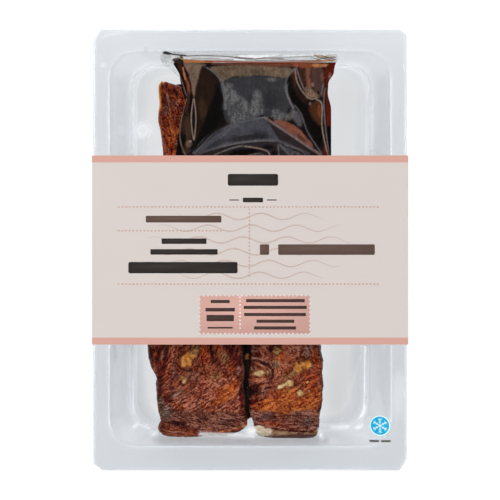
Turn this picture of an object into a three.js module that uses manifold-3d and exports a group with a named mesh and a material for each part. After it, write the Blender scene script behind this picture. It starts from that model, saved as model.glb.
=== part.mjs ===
// A retail pack of hot smoked salmon: two glazed fillets sealed under clear film in a clear
// plastic tray, with a sachet of dark sauce lying on them and a card sleeve round the middle.
// Millimetres, +Z up. The pack lies on its back, so the side with the fillets looks up, and
// the end where the sachet shows is at +Y. The origin is at the middle of the underside.
import * as THREE from "three";
import { mergeVertices } from "three/addons/utils/BufferGeometryUtils.js";
import Module from "manifold-3d";

const wasm = await Module();
wasm.setup();

// Driving dimensions of the pack
const packWidth = 149.2;
const packLength = 210;
const flangeTop = 28;
const wall = 0.6;
const cardThickness = 0.4;
const filmThickness = 0.3;
const gap = 0.3;
const sleeveLength = 90;

// The well of the tray: its mouth in the flange, and its flat floor
const mouthHalf = { x: 66.5, y: 94, r: 12.8 };
const floorHalf = { x: 56.8, y: 86, r: 11 };
const floorShift = 2;
const flangeCorner = 5;
const floorRound = 6;
const draft = THREE.MathUtils.degToRad(10);
const lipRound = 1.2;

const trayBase = cardThickness + gap;
const floorTop = trayBase + wall;
const wellDepth = flangeTop - floorTop;
const foodBase = floorTop + gap;

// Every ring round the well has one point for each share of a side, from -1 to 1, and the
// film's grid over the floor has as many columns and rows
const acrossShares = [-1, -0.94, -0.87, -0.7, -0.5, -0.3, -0.1, 0.1, 0.3, 0.5, 0.7, 0.87, 0.94, 1];
const alongShares = [
  -1, -0.96, -0.92, -0.8, -0.64, -0.48, -0.32, -0.16, 0, 0.16, 0.32, 0.48, 0.66, 0.8, 0.92, 1,
];
const rows = [-80, -76, -70, -60, -47, -33, -18, -3, 12, 27, 42, 55, 66, 74, 79, 82.5];

// Value noise with a fixed seed, from 0 to 1
function noise(x, y, seed) {
  const corner = (i, j) => {
    const s = Math.sin(i * 127.1 + j * 311.7 + seed * 74.7) * 43758.5453;
    return s - Math.floor(s);
  };
  const i = Math.floor(x);
  const j = Math.floor(y);
  const ease = (t) => t * t * (3 - 2 * t);
  const u = ease(x - i);
  const v = ease(y - j);
  const low = corner(i, j) * (1 - u) + corner(i + 1, j) * u;
  const high = corner(i, j + 1) * (1 - u) + corner(i + 1, j + 1) * u;
  return low * (1 - v) + high * v;
}

// A smooth value along a list of [place, value] stations, in rising order of place
function along(stations, place) {
  const last = stations.length - 1;
  if (place <= stations[0][0]) return stations[0][1];
  if (place >= stations[last][0]) return stations[last][1];
  const k = stations.findIndex((s) => s[0] > place) - 1;
  const t = (place - stations[k][0]) / (stations[k + 1][0] - stations[k][0]);
  const ease = t * t * (3 - 2 * t);
  return THREE.MathUtils.lerp(stations[k][1], stations[k + 1][1], ease);
}

// Collects points and faces, and hands back the geometry
class Surface {
  constructor() {
    this.points = [];
    this.faces = [];
  }
  add(x, y, z) {
    this.points.push(x, y, z);
    return this.points.length / 3 - 1;
  }
  triangle(a, b, c) {
    this.faces.push(a, b, c);
  }
  quad(a, b, c, d) {
    this.faces.push(a, b, c, a, c, d);
  }
  // Faces from one closed ring to the next: outwards they look up, and inwards down
  strip(ring, next) {
    ring.forEach((p, k) => {
      const q = (k + 1) % ring.length;
      this.quad(p, next[k], next[q], ring[q]);
    });
  }
  geometry() {
    const g = new THREE.BufferGeometry();
    g.setAttribute("position", new THREE.Float32BufferAttribute(this.points, 3));
    g.setIndex(this.faces);
    g.computeVertexNormals();
    return g;
  }
}

// A point on one side of a rounded rectangle, at share from -1 to 1 of the way along that
// side, with half of each corner counted in. flip swaps the sides along X for those along Y.
function sidePoint(share, halfX, halfY, radius) {
  const straight = halfX - radius;
  const s = share * (straight + (Math.PI / 4) * radius);
  if (Math.abs(s) <= straight) return [s, halfY];
  const turn = (Math.abs(s) - straight) / radius;
  return [Math.sign(s) * (straight + radius * Math.sin(turn)), halfY - radius * (1 - Math.cos(turn))];
}

// The points of a ring round the well, counter-clockwise from the corner at -X, -Y
function ringPlan(halfX, halfY, radius, centreY) {
  const onX = (share, side) => {
    const [a, b] = sidePoint(share, halfX, halfY, radius);
    return [a, centreY + side * b];
  };
  const onY = (share, side) => {
    const [a, b] = sidePoint(share, halfY, halfX, radius);
    return [side * b, centreY + a];
  };
  return [
    ...acrossShares.slice(0, -1).map((share) => onX(share, -1)),
    ...alongShares.slice(0, -1).map((share) => onY(share, 1)),
    ...acrossShares.slice(1).reverse().map((share) => onX(share, 1)),
    ...alongShares.slice(1).reverse().map((share) => onY(share, -1)),
  ];
}

// The well's side in section: how far out from the floor's edge, how high above the floor,
// and the way its face looks
const wallRun = mouthHalf.x - floorHalf.x;
const arcEnd = Math.PI / 2 - draft;
function wellSection() {
  const stations = [];
  for (const share of [0, 0.33, 0.66, 1]) {
    const a = arcEnd * share;
    const station = { out: floorRound * Math.sin(a), up: floorRound * (1 - Math.cos(a)) };
    stations.push({ ...station, normal: [-Math.sin(a), Math.cos(a)] });
  }
  const lean = [-Math.cos(draft), Math.sin(draft)];
  stations.push({ out: wallRun - 0.1, up: wellDepth - lipRound, normal: lean });
  const slant = [-Math.SQRT1_2, Math.SQRT1_2];
  stations.push({ out: wallRun + 0.3 * lipRound, up: wellDepth - 0.3 * lipRound, normal: slant });
  stations.push({ out: wallRun + lipRound, up: wellDepth, normal: [0, 1] });
  return stations;
}
const section = wellSection();

// The ring at a section's place, moved by offset along the way its face looks
function wellRing(station, offset) {
  const out = station.out + station.normal[0] * offset;
  const share = out / wallRun;
  const halfY = THREE.MathUtils.lerp(floorHalf.y, mouthHalf.y, share);
  const radius = THREE.MathUtils.lerp(floorHalf.r, mouthHalf.r, share);
  const plan = ringPlan(floorHalf.x + out, halfY, radius, floorShift * (1 - share));
  return { plan, z: floorTop + station.up + station.normal[1] * offset };
}

// The flange's edge, drawn in by inset
function flangePlan(inset) {
  return ringPlan(packWidth / 2 - inset, packLength / 2 - inset, flangeCorner, 0);
}

// The clear tray, one wall thick throughout
function trayGeometry() {
  const s = new Surface();
  const place = ({ plan, z }) => plan.map(([x, y]) => s.add(x, y, z));
  const inside = section.map((station) => place(wellRing(station, 0)));
  const edge = [flangeTop, flangeTop - wall].map((z) => place({ plan: flangePlan(0), z }));
  const outside = section
    .filter((_, k) => k !== section.length - 2)
    .map((station) => place(wellRing(station, -wall)))
    .reverse();
  const rings = [...inside, ...edge, ...outside];
  rings.slice(1).forEach((ring, k) => s.strip(rings[k], ring));
  const top = s.add(0, floorShift, floorTop);
  const bottom = s.add(0, floorShift, floorTop - wall);
  const first = rings[0];
  const last = rings[rings.length - 1];
  first.forEach((p, k) => s.triangle(top, p, first[(k + 1) % first.length]));
  last.forEach((p, k) => s.triangle(bottom, last[(k + 1) % last.length], p));
  return s.geometry();
}

// How far the well's side has risen at distance past the floor's edge at the -Y end
function endRise(distance) {
  const d = THREE.MathUtils.clamp(distance, 0, floorRound * Math.sin(arcEnd));
  return floorRound - Math.sqrt(floorRound * floorRound - d * d);
}

// The two fillets: their long edges and their thickness at places along Y, and the chips of
// garlic and ginger stuck to their glaze as [x, y, half length, half width, turn in degrees]
const fillets = {
  fillet_left: {
    from: -88.6,
    to: 81,
    low: [[-88.6, -43.4], [-85.5, -44.4], [-81.5, -43], [-75.5, -44.8], [-72, -44.6], [-68.5, -45.2],
      [-62, -44.7], [-49.5, -49.3], [-25, -48.8], [10, -44.5], [47, -41.3], [67, -44.4], [73, -43.8],
      [81, -44.6]],
    high: [[-88.6, -8.4], [-86.3, -3.8], [-84, -1.4], [-79, -1.1], [-60, -1.7], [-30, -2.1], [0, -1.5],
      [45, -2], [81, -4]],
    thick: [[-88.6, 6], [-84, 9], [-76, 12.4], [-66, 14.6], [-40, 15.2], [0, 15], [40, 14.4],
      [68, 12.6], [81, 8.5]],
    chips: [[-29, -53.5, 4.6, 3.4, 20], [-31.5, -62.5, 1.9, 1.5, 0], [-21, -20, 4, 2.4, 60],
      [-35, 2, 3.4, 2.5, -30], [-14, 22, 3.6, 2.2, 15], [-29, 50, 2.6, 1.8, 40]],
    seed: 3,
  },
  fillet_right: {
    from: -89.2,
    to: 79,
    low: [[-89.2, 3.2], [-84, 2], [-79, -0.2], [-60, -0.7], [-30, -1.1], [0, -0.5], [45, -1], [79, 0]],
    high: [[-89.2, 32.9], [-85, 33.3], [-79.5, 33.2], [-75, 34.3], [-70, 35], [-52, 35], [-47.5, 34.1],
      [-20, 33.6], [30, 33.3], [79, 32]],
    thick: [[-89.2, 5.5], [-85, 8], [-78, 11.6], [-67, 14], [-40, 14.8], [0, 14.6], [40, 14],
      [66, 12], [79, 8]],
    chips: [[4.8, -59.2, 3.2, 1.5, 8], [18.5, -64.3, 4.4, 1.8, 25], [23.8, -68.8, 2.1, 1.6, 0],
      [27, -56, 3.8, 2.7, 30], [12.8, -48, 1.7, 2.8, 0], [0.8, -51.5, 1.6, 1.5, 0],
      [10, -12, 3.4, 2, -20], [22, 18, 3.8, 2.2, 50]],
    seed: 11,
  },
};

// The top of a fillet's relief above its smooth crown: lumps, crags, and slanting flake edges
// that turn near the end. sunk is how far the whole relief lies below the crown.
const reliefMost = 2.2;
const sunk = 1.2;
const lump = { size: 9, height: 2.8 };
const crag = { size: 4.4, height: 1.2 };
const flake = { step: 8.6, height: 0.9, lean: 0.5, turnAt: -76, turnShift: 24 };
function relief(fillet, x, y) {
  const lumps = lump.height * (noise(x / lump.size, y / lump.size, fillet.seed) - 0.5);
  const crags = crag.height * (noise(x / crag.size, y / crag.size, fillet.seed + 5) - 0.5);
  const lean = y > flake.turnAt ? -flake.lean * x : flake.lean * x + flake.turnShift;
  const part = (((y + lean) / flake.step) % 1 + 1) % 1;
  return Math.min(reliefMost, lumps + crags + flake.height * (part - 0.5)) - sunk;
}

// Where a fillet's underside lies: on the floor, and up the well's side at the -Y end
function baseAt(y) {
  return foodBase + endRise(floorShift - floorHalf.y - y);
}

// The height of a fillet's smooth top at a share of its half width, as a share of its thickness
function crownAt(share) {
  return 1 - 0.1 * share * share - 0.1 * share ** 6;
}

// A closed mesh as a solid to join
function solidOf(geometry) {
  geometry.deleteAttribute("normal");
  if (geometry.attributes.uv) geometry.deleteAttribute("uv");
  const merged = mergeVertices(geometry);
  const vertProperties = new Float32Array(merged.attributes.position.array);
  const triVerts = new Uint32Array(merged.index.array);
  return new wasm.Manifold(new wasm.Mesh({ numProp: 3, vertProperties, triVerts }));
}

function geometryOf(solid) {
  const mesh = solid.getMesh();
  const g = new THREE.BufferGeometry();
  g.setAttribute("position", new THREE.Float32BufferAttribute(mesh.vertProperties, 3));
  g.setIndex(Array.from(mesh.triVerts));
  g.computeVertexNormals();
  return g;
}

// Where a cross-section's points stand: shares of the half width over the top and along the
// base, and shares of the thickness up each side
const topShares = [-0.93, -0.78, -0.6, -0.4, -0.2, 0, 0.2, 0.4, 0.6, 0.78, 0.93];
const sideHeights = [0.62, 0.3, 0.08];
const baseShares = [-0.9, -0.3, 0.3, 0.9];

// How a fillet rounds off over run at its ends, down to these shares of its width and
// thickness, how far its relief fades there, and how far its sides weave inwards
const filletEnd = { run: 3.5, width: 0.93, thickness: 0.55, lift: 0.2, fadeRun: 5, fadeTo: 0.2, tip: 0.8 };
const weave = { depth: 1.1, along: 5, upward: 7 };

// One fillet as a loft of cross-sections along Y
function filletGeometry(fillet) {
  const s = new Surface();
  const sections = 42;
  const rings = [];
  for (let k = 0; k <= sections; k++) {
    const t = k / sections;
    // Sections stand closer at both ends, where the fillet rounds off
    const y = THREE.MathUtils.lerp(fillet.from, fillet.to, t - 0.07 * Math.sin(2 * Math.PI * t));
    const end = Math.min(y - fillet.from, fillet.to - y);
    const round = Math.sqrt(1 - (1 - Math.min(1, end / filletEnd.run)) ** 2);
    const narrow = THREE.MathUtils.lerp(filletEnd.width, 1, round);
    const low = along(fillet.low, y);
    const high = along(fillet.high, y);
    const middle = (low + high) / 2;
    const half = ((high - low) / 2) * narrow;
    const thick = along(fillet.thick, y) * THREE.MathUtils.lerp(filletEnd.thickness, 1, round);
    const base = baseAt(y) + (1 - round) * filletEnd.lift * thick;
    const fade = THREE.MathUtils.lerp(filletEnd.fadeTo, 1, Math.min(1, end / filletEnd.fadeRun));
    const woven = (h, seed) => weave.depth * noise(y / weave.along, h * weave.upward, seed);
    const ring = [];
    topShares.forEach((u) => {
      const x = middle + u * half;
      const edge = 1 - 0.5 * Math.abs(u) ** 8;
      ring.push(s.add(x, y, base + thick * crownAt(u) + relief(fillet, x, y) * fade * edge));
    });
    sideHeights.forEach((h) => {
      ring.push(s.add(middle + half - woven(h, fillet.seed + 2), y, base + thick * h));
    });
    [...baseShares].reverse().forEach((u) => ring.push(s.add(middle + u * half, y, base)));
    [...sideHeights].reverse().forEach((h) => {
      ring.push(s.add(middle - half + woven(h, fillet.seed + 3), y, base + thick * h));
    });
    rings.push(ring);
  }
  rings.slice(1).forEach((ring, k) => s.strip(ring, rings[k]));
  [rings[0], rings[sections]].forEach((ring, last) => {
    const sum = [0, 1, 2].map((axis) => {
      const values = ring.map((p) => s.points[p * 3 + axis]);
      return values.reduce((a, b) => a + b, 0) / values.length;
    });
    const tip = s.add(sum[0], sum[1] + (last ? filletEnd.tip : -filletEnd.tip), sum[2]);
    ring.forEach((p, k) => {
      const q = ring[(k + 1) % ring.length];
      if (last) s.triangle(tip, p, q);
      else s.triangle(tip, q, p);
    });
  });
  const chips = fillet.chips.map((chip) => chipSolid(fillet, chip));
  return geometryOf(chips.reduce((body, chip) => body.add(chip), solidOf(s.geometry())));
}

// One chip of garlic or ginger: a flat lump that sits half sunk in the fillet's top
const chipHalfHeight = 1.1;
const chipSunk = 0.3;
function chipSolid(fillet, [x, y, a, b, turn]) {
  const g = new THREE.IcosahedronGeometry(1, 1);
  g.scale(a, b, chipHalfHeight);
  g.rotateZ(THREE.MathUtils.degToRad(turn));
  const low = along(fillet.low, y);
  const high = along(fillet.high, y);
  const crown = crownAt((2 * x - low - high) / (high - low));
  const top = baseAt(y) + along(fillet.thick, y) * crown + relief(fillet, x, y);
  g.translate(x, y, top - chipSunk);
  return solidOf(g);
}

// The height that the film keeps above a fillet, falling to nothing past its edge where the
// film runs down to the tray as a tent. It looks at the fillets a little way round each
// point too, because its faces are flat between their corners.
const tentRun = 4.4;
const tentTop = 1.3;
const filmLift = 1;
const nearby = [[0, 0], [1.6, 0], [-1.6, 0], [0, 2.2], [0, -2.2]];
function cover(x, y) {
  let most = 0;
  for (const fillet of Object.values(fillets)) {
    for (const [dx, dy] of nearby) {
      const px = x + dx;
      const py = y + dy;
      const aside = Math.max(along(fillet.low, py) - px, px - along(fillet.high, py), 0);
      const beyond = Math.max(fillet.from - py, py - fillet.to, 0);
      const away = tentRun - Math.hypot(aside, beyond);
      const share = THREE.MathUtils.clamp(away / (tentRun - tentTop), 0, 1);
      const top = baseAt(py) + along(fillet.thick, py) + reliefMost - sunk;
      most = Math.max(most, share * (top + filmLift));
    }
  }
  return Math.max(most, cornerTent(x, y));
}

// In the corner at +X, -Y the film is stretched flat from the rim of the well to the floor
const tent = { x: 53.7, y: -81.2, turn: -16, rim: 12.6, slope: 1.25 };
function cornerTent(x, y) {
  const t = THREE.MathUtils.degToRad(tent.turn);
  const reach = (x - tent.x) * Math.cos(t) + (y - tent.y) * Math.sin(t);
  return Math.min(flangeTop + gap, flangeTop + gap - tent.slope * (tent.rim - reach));
}

// The places across the film's grid: close together along the fillets' outer edges, where the
// film falls to the floor
function columnsAt(y) {
  const low = along(fillets.fillet_left.low, y);
  const high = along(fillets.fillet_right.high, y);
  const edge = along([[-80, 50.5], [-70, 55.4], [70, 55.4], [82.5, 50.5]], y);
  const middle = [-31, -20, -9, 2, 13, 23];
  return [-edge, low - 6, low - tentTop, low + 6, ...middle, high - 5, high + tentTop, high + 6, edge];
}

// The clear film: sealed on the flange, drawn down the well's side and over the fillets
function filmGeometry() {
  const s = new Surface();
  const flange = flangeTop + gap;
  const faces = [gap, gap + filmThickness].map((offset) => {
    const lift = offset - gap;
    const point = (x, y, z) => s.add(x, y, Math.max(z, cover(x, y) + lift));
    const grid = rows.map((y) => columnsAt(y).map((x) => point(x, y, floorTop + offset)));
    const rings = section.map((station) => {
      const { plan, z } = wellRing(station, offset);
      return plan.map(([x, y]) => point(x, y, z));
    });
    rings.push(flangePlan(1).map(([x, y]) => s.add(x, y, flange + lift)));
    const right = grid[0].length - 1;
    const top = grid.length - 1;
    const rim = [
      ...grid[0].slice(0, -1),
      ...grid.slice(0, -1).map((row) => row[right]),
      ...grid[top].slice(1).reverse(),
      ...grid.slice(1).reverse().map((row) => row[0]),
    ];
    return { grid, rings: [rim, ...rings] };
  });
  const [lower, upper] = faces;
  upper.rings.slice(1).forEach((ring, k) => s.strip(upper.rings[k], ring));
  s.strip(upper.rings[upper.rings.length - 1], lower.rings[lower.rings.length - 1]);
  lower.rings.slice(1).forEach((ring, k) => s.strip(ring, lower.rings[k]));
  for (let j = 0; j + 1 < upper.grid.length; j++)
    for (let i = 0; i + 1 < upper.grid[j].length; i++) {
      const corners = (g) => [g[j][i], g[j][i + 1], g[j + 1][i + 1], g[j + 1][i]];
      s.quad(...corners(upper.grid));
      const [a, b, c, d] = corners(lower.grid);
      s.faces.push(a, c, b, a, d, c);
    }
  return s.geometry();
}

// The round freezing mark: a thin disc stuck on the film's flat tent, and lift is how far its
// middle stands off the film
const mark = { x: 61.9, y: -83.4, radius: 4.5, thickness: 0.3, lift: 0.55, sides: 28 };
function markGeometry() {
  const g = new THREE.CylinderGeometry(mark.radius, mark.radius, mark.thickness, mark.sides);
  g.rotateX(Math.PI / 2);
  const p = g.attributes.position;
  for (let k = 0; k < p.count; k++) {
    const x = mark.x + p.getX(k);
    const y = mark.y + p.getY(k);
    const t = THREE.MathUtils.degToRad(tent.turn);
    const reach = (x - tent.x) * Math.cos(t) + (y - tent.y) * Math.sin(t);
    const film = flangeTop + gap + filmThickness - tent.slope * (tent.rim - reach);
    p.setXYZ(k, x, y, film + mark.lift + mark.thickness / 2 + p.getZ(k));
  }
  g.computeVertexNormals();
  return g;
}

// The sauce sachet: a flat pouch filled to a pillow. It lies on the film over the fillets and
// leans on the rim of the well at its +Y end.
const sachet = {
  from: -10.5,
  to: 94.6,
  halfEnd: 41.3,
  halfMiddle: 36.6,
  thick: 8.8,
  seal: 3.4,
  sealThick: 0.5,
  middle: 23.6,
  rim: flangeTop + 2 * gap + filmThickness + 0.25,
};

// The sachet fills out over run from its seals, its sides pinch in and puckers run in from
// the seals, and from leanFrom on it leans on the rim, where it is thinner
const filling = { run: 15, square: 1.4, leanFrom: 66, leanThins: 0.35 };
const pinch = { depth: 1.6, step: 4.6, fade: 30 };
const pucker = { depth: 0.15, turn: 17, fade: 9 };
function sachetGeometry() {
  const s = new Surface();
  const across = 16;
  const length = 23;
  const bulge = (share) => Math.sqrt(Math.max(0, 1 - share * share));
  const faces = [1, -1].map((side) => {
    const grid = [];
    for (let j = 0; j <= length; j++) {
      const t = j / length;
      const v = 2 * (t - 0.02 * Math.sin(2 * Math.PI * t)) - 1;
      const y = THREE.MathUtils.lerp(sachet.from, sachet.to, (v + 1) / 2);
      const toEnd = Math.min(y - sachet.from, sachet.to - y);
      const filled = THREE.MathUtils.clamp((toEnd - sachet.seal) / filling.run, 0, 1);
      const pinched = pinch.depth * filled * Math.sin(y / pinch.step) * Math.exp(-toEnd / pinch.fade);
      const half = THREE.MathUtils.lerp(sachet.halfEnd, sachet.halfMiddle, filled ** 0.7) - pinched;
      const lean = THREE.MathUtils.smoothstep(y, filling.leanFrom, sachet.to);
      const centre = THREE.MathUtils.lerp(sachet.middle, sachet.rim, lean);
      const row = [];
      for (let i = 0; i <= across; i++) {
        const u = (2 * i) / across - 1;
        const x = u * half;
        const fade = Math.exp(-(toEnd - sachet.seal) / pucker.fade) * filled;
        const puckered = 1 + pucker.depth * Math.sin(u * pucker.turn) * fade;
        const flat = 1 - filling.leanThins * lean;
        const body = sachet.thick * Math.sqrt(filled) * bulge(Math.abs(u) ** filling.square) * flat;
        const thick = Math.max(sachet.sealThick, body * puckered);
        row.push(s.add(x, y, centre + (side * thick) / 2));
      }
      grid.push(row);
    }
    return grid;
  });
  const [upper, lower] = faces;
  for (let j = 0; j < length; j++)
    for (let i = 0; i < across; i++) {
      const corners = (g) => [g[j][i], g[j][i + 1], g[j + 1][i + 1], g[j + 1][i]];
      s.quad(...corners(upper));
      s.quad(...corners(lower).reverse());
    }
  const rim = (g) => [
    ...g[0].slice(0, -1),
    ...g.slice(0, -1).map((row) => row[across]),
    ...g[length].slice(1).reverse(),
    ...g.slice(1).reverse().map((row) => row[0]),
  ];
  s.strip(rim(upper), rim(lower));
  return s.geometry();
}

// The card sleeve: a closed band, flat across the flange and the back, with leaning sides.
// Its back is narrower than the pack, and each fold is cut off by a small slant.
const backHalf = 62.4;
const fold = 0.8;
const sideTop = flangeTop - wall - 1;
function sleeveGeometry() {
  const top = flangeTop + 2 * gap + filmThickness;
  const topHalf = packWidth / 2 + gap;
  const band = (grow) => {
    const outline = [
      [-backHalf - grow + fold, cardThickness - grow],
      [backHalf + grow - fold, cardThickness - grow],
      [backHalf + grow, cardThickness - grow + fold],
      [topHalf + grow, sideTop],
      [topHalf + grow, top + grow - fold * 0.5],
      [topHalf + grow - fold * 0.5, top + grow],
    ];
    const mirrored = outline.slice(3).reverse().map(([x, z]) => [-x, z]);
    return [...outline, ...mirrored, [-backHalf - grow, cardThickness - grow + fold]];
  };
  const path = (points) => points.map(([x, z]) => new THREE.Vector2(x, z));
  const shape = new THREE.Shape(path(band(cardThickness)));
  shape.holes.push(new THREE.Path(path(band(0))));
  const g = new THREE.ExtrudeGeometry(shape, { depth: sleeveLength, bevelEnabled: false });
  g.rotateX(Math.PI / 2);
  g.translate(0, sleeveLength / 2, 0);
  return g;
}

function piece(name, geometry, color, roughness, extra = {}) {
  const material = new THREE.MeshStandardMaterial({ color, roughness, metalness: 0, ...extra });
  const mesh = new THREE.Mesh(geometry, material);
  mesh.name = name;
  return mesh;
}

const pack = new THREE.Group();
const clear = { transparent: true, opacity: 0.3 };
pack.add(piece("tray", trayGeometry(), 0xdde2e5, 0.15, clear));
pack.add(piece("film", filmGeometry(), 0xe6eaec, 0.1, clear));
for (const [name, fillet] of Object.entries(fillets))
  pack.add(piece(name, filletGeometry(fillet), 0x7a2f17, 0.35));
pack.add(piece("sachet", sachetGeometry(), 0x1c120e, 0.12));
pack.add(piece("sleeve", sleeveGeometry(), 0xdbd2cc, 0.7));
pack.add(piece("freeze_mark", markGeometry(), 0x2a9fdc, 0.5));

export default pack;
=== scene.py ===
# Hot smoked salmon in a clear tray, with its film, its sachet of sauce and its card sleeve
from math import ceil, cos, hypot, pi, radians, sin

import bmesh
import bpy
import numpy as np
from mathutils import Matrix, Vector, noise
from mathutils.bvhtree import BVHTree


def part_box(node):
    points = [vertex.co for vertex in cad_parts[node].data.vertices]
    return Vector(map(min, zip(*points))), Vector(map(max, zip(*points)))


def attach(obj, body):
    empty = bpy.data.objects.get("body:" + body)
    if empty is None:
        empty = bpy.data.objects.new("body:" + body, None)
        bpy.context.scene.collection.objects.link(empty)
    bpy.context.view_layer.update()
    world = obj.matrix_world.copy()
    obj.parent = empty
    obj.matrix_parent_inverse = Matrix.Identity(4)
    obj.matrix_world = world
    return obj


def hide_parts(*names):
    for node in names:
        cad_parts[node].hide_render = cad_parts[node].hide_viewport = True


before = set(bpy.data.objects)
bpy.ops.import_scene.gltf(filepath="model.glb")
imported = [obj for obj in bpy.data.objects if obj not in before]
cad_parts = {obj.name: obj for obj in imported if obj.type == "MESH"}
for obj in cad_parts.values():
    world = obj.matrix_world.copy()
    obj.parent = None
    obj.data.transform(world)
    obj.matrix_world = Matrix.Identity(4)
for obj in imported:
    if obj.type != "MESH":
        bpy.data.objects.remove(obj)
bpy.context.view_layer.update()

mm = 0.001  # lengths below are in millimetres, and the scene is in metres


# Small helpers for meshes and pieces

def ease(value, start, end):
    t = min(1.0, max(0.0, (value - start) / (end - start)))
    return t * t * (3 - 2 * t)


def along(stations, place):
    if place <= stations[0][0]:
        return stations[0][1]
    for (a, low), (b, high) in zip(stations, stations[1:]):
        if place <= b:
            return low + (high - low) * ease(place, a, b)
    return stations[-1][1]


def meshOf(bm, name):
    bm.normal_update()
    mesh = bpy.data.meshes.new(name)
    bm.to_mesh(mesh)
    bm.free()
    return mesh


def toMetres(bm):
    for v in bm.verts:
        v.co *= mm


def addPiece(name, mesh, material, standsFor=()):
    obj = bpy.data.objects.new(name, mesh)
    bpy.context.scene.collection.objects.link(obj)
    obj.data.materials.append(material)
    obj.data.shade_smooth()
    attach(obj, "root")
    if standsFor:
        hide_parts(*standsFor)
    return obj


def thicken(obj, name, thickness, offset=-1, even=False):
    wall = obj.modifiers.new(name, "SOLIDIFY")
    wall.thickness = thickness * mm
    wall.offset = offset
    wall.use_even_offset = even


def readVectors(items, name):
    values = np.empty(len(items) * 3)
    items.foreach_get(name, values)
    return values.reshape(-1, 3)


def setAttribute(mesh, name, values):
    layer = mesh.attributes.new(name, "FLOAT", "POINT")
    layer.data.foreach_set("value", np.asarray(values, np.float32))


# A smooth line through a few points, or a smooth closed outline
def smoothRow(points, pieces=6, closed=False):
    ends = [points[-1], *points, *points[:2]] if closed else [points[0], *points, points[-1]]
    row = [np.array(points[0], float)]
    for a, b, c, d in zip(ends, ends[1:], ends[2:], ends[3:]):
        a, b, c, d = (np.array(q, float) for q in (a, b, c, d))
        for k in range(1, pieces + 1):
            t = k / pieces
            row.append(0.5 * (2 * b + (c - a) * t + (2 * a - 5 * b + 4 * c - d) * t * t
                              + (3 * b - a - 3 * c + d) * t ** 3))
    return row


# How far each place is from a line, with the sign of the side that it lies on (left is above 0)
def toCrest(points, x, y):
    nearest = np.full(x.shape, 1e9)
    for (ax, ay), (bx, by) in zip(points, points[1:]):
        length = max((bx - ax) ** 2 + (by - ay) ** 2, 1e-9)
        t = np.clip(((x - ax) * (bx - ax) + (y - ay) * (by - ay)) / length, 0, 1)
        d = np.hypot(x - ax - t * (bx - ax), y - ay - t * (by - ay))
        side = np.where((bx - ax) * (y - ay) - (by - ay) * (x - ax) >= 0, 1, -1)
        nearest = np.where(d < np.abs(nearest), d * side, nearest)
    return nearest


# How far inside a closed outline each place is, below 0 where it is outside
def depthInside(outline, x, y):
    row = smoothRow(outline, 4, closed=True)
    inside = np.zeros(x.shape, bool)
    for (ax, ay), (bx, by) in zip(row, row[1:]):
        if ay != by:
            inside ^= ((ay > y) != (by > y)) & (x < ax + (y - ay) * (bx - ax) / (by - ay))
    away = np.abs(toCrest(row, x, y))
    return np.where(inside, away, -away)


def easeAll(value, start, end):
    t = np.clip((value - start) / (end - start), 0, 1)
    return t * t * (3 - 2 * t)


# How far noise moves the edges of paint, and where a spot and a stroke fade, as shares of their
# half widths
edgePlan = {
    "panelFray": 0.7, "spotFray": 0.5, "strokeFray": 0.3,
    "spotFade": (0.5, 1.3), "strokeFade": (0.2, 1.6), "strokeReach": 3,
}


# The share of each place that a layer of paint covers. After its function and shade, a panel has
# (softness, outline), a spot (x, y, half length, half width, turn, strength), and a stroke (half
# width, strength, points). Fray is noise that makes their edges uneven.
def panel(layer, x, y, fray):
    soft, outline = layer
    return easeAll(depthInside(outline, x, y) + edgePlan["panelFray"] * fray * soft, -soft / 2, soft / 2)


def spot(layer, x, y, fray):
    cx, cy, rx, ry, turn, strength = layer
    a = radians(turn)
    u = ((x - cx) * cos(a) + (y - cy) * sin(a)) / rx
    v = (-(x - cx) * sin(a) + (y - cy) * cos(a)) / ry
    away = np.hypot(u, v) + edgePlan["spotFray"] * fray
    return strength * (1 - easeAll(away, *edgePlan["spotFade"]))


def stroke(layer, x, y, fray):
    half, strength, points = layer
    low = np.min(points, axis=0) - edgePlan["strokeReach"] * half
    high = np.max(points, axis=0) + edgePlan["strokeReach"] * half
    near = (x > low[0]) & (x < high[0]) & (y > low[1]) & (y < high[1])
    share = np.zeros(x.shape)
    start, end = edgePlan["strokeFade"]
    away = np.abs(toCrest(smoothRow(points, 4), x[near], y[near]))
    away = away + edgePlan["strokeFray"] * half * fray[near]
    share[near] = strength * (1 - easeAll(away, start * half, end * half))
    return share


# Several layers of one kind and shade
def each(cover, shade, *layers):
    return [(cover, shade, *layer) for layer in layers]


# A level of 0 to 255 on a screen, as light
def linear(level):
    return ((level / 255 + 0.055) / 1.055) ** 2.4


def shadesOf(palette, lift):
    return {name: np.array([linear(v) * k for v, k in zip(rgb, lift)] + [extra])
            for name, (*rgb, extra) in palette.items()}


# Paints a mesh from above, each layer over the last. The palette's shades are (red, green,
# blue, extra): red, green and blue as they look, and extra for the material to use.
def paintMesh(mesh, palette, base, layers, fray, lift=(1, 1, 1)):
    x, y = readVectors(mesh.vertices, "co")[:, :2].T / mm
    shades = shadesOf(palette, lift)
    tint = np.tile(shades[base], (len(x), 1))
    for cover, name, *layer in layers:
        share = cover(layer, x, y, fray)
        tint += share[:, None] * (shades[name] - tint)
    return tint


def setPaint(mesh, tint):
    layer = mesh.attributes.new("paint", "FLOAT_COLOR", "POINT")
    layer.data.foreach_set("color", np.asarray(tint, np.float32).ravel())


def dressNode(name, material):
    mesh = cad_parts[name].data
    mesh.materials.clear()
    mesh.materials.append(material)


# Small helpers for materials

def newMaterial(name):
    material = bpy.data.materials.new(name)
    material.use_nodes = True
    material.node_tree.nodes.clear()
    return material, material.node_tree


def put(tree, kind, sockets=None, **settings):
    made = tree.nodes.new(kind)
    for key, value in settings.items():
        setattr(made, key, value)
    for key, value in (sockets or {}).items():
        if isinstance(value, bpy.types.NodeSocket):
            tree.links.new(value, made.inputs[key])
        else:
            made.inputs[key].default_value = value
    return made


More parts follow.
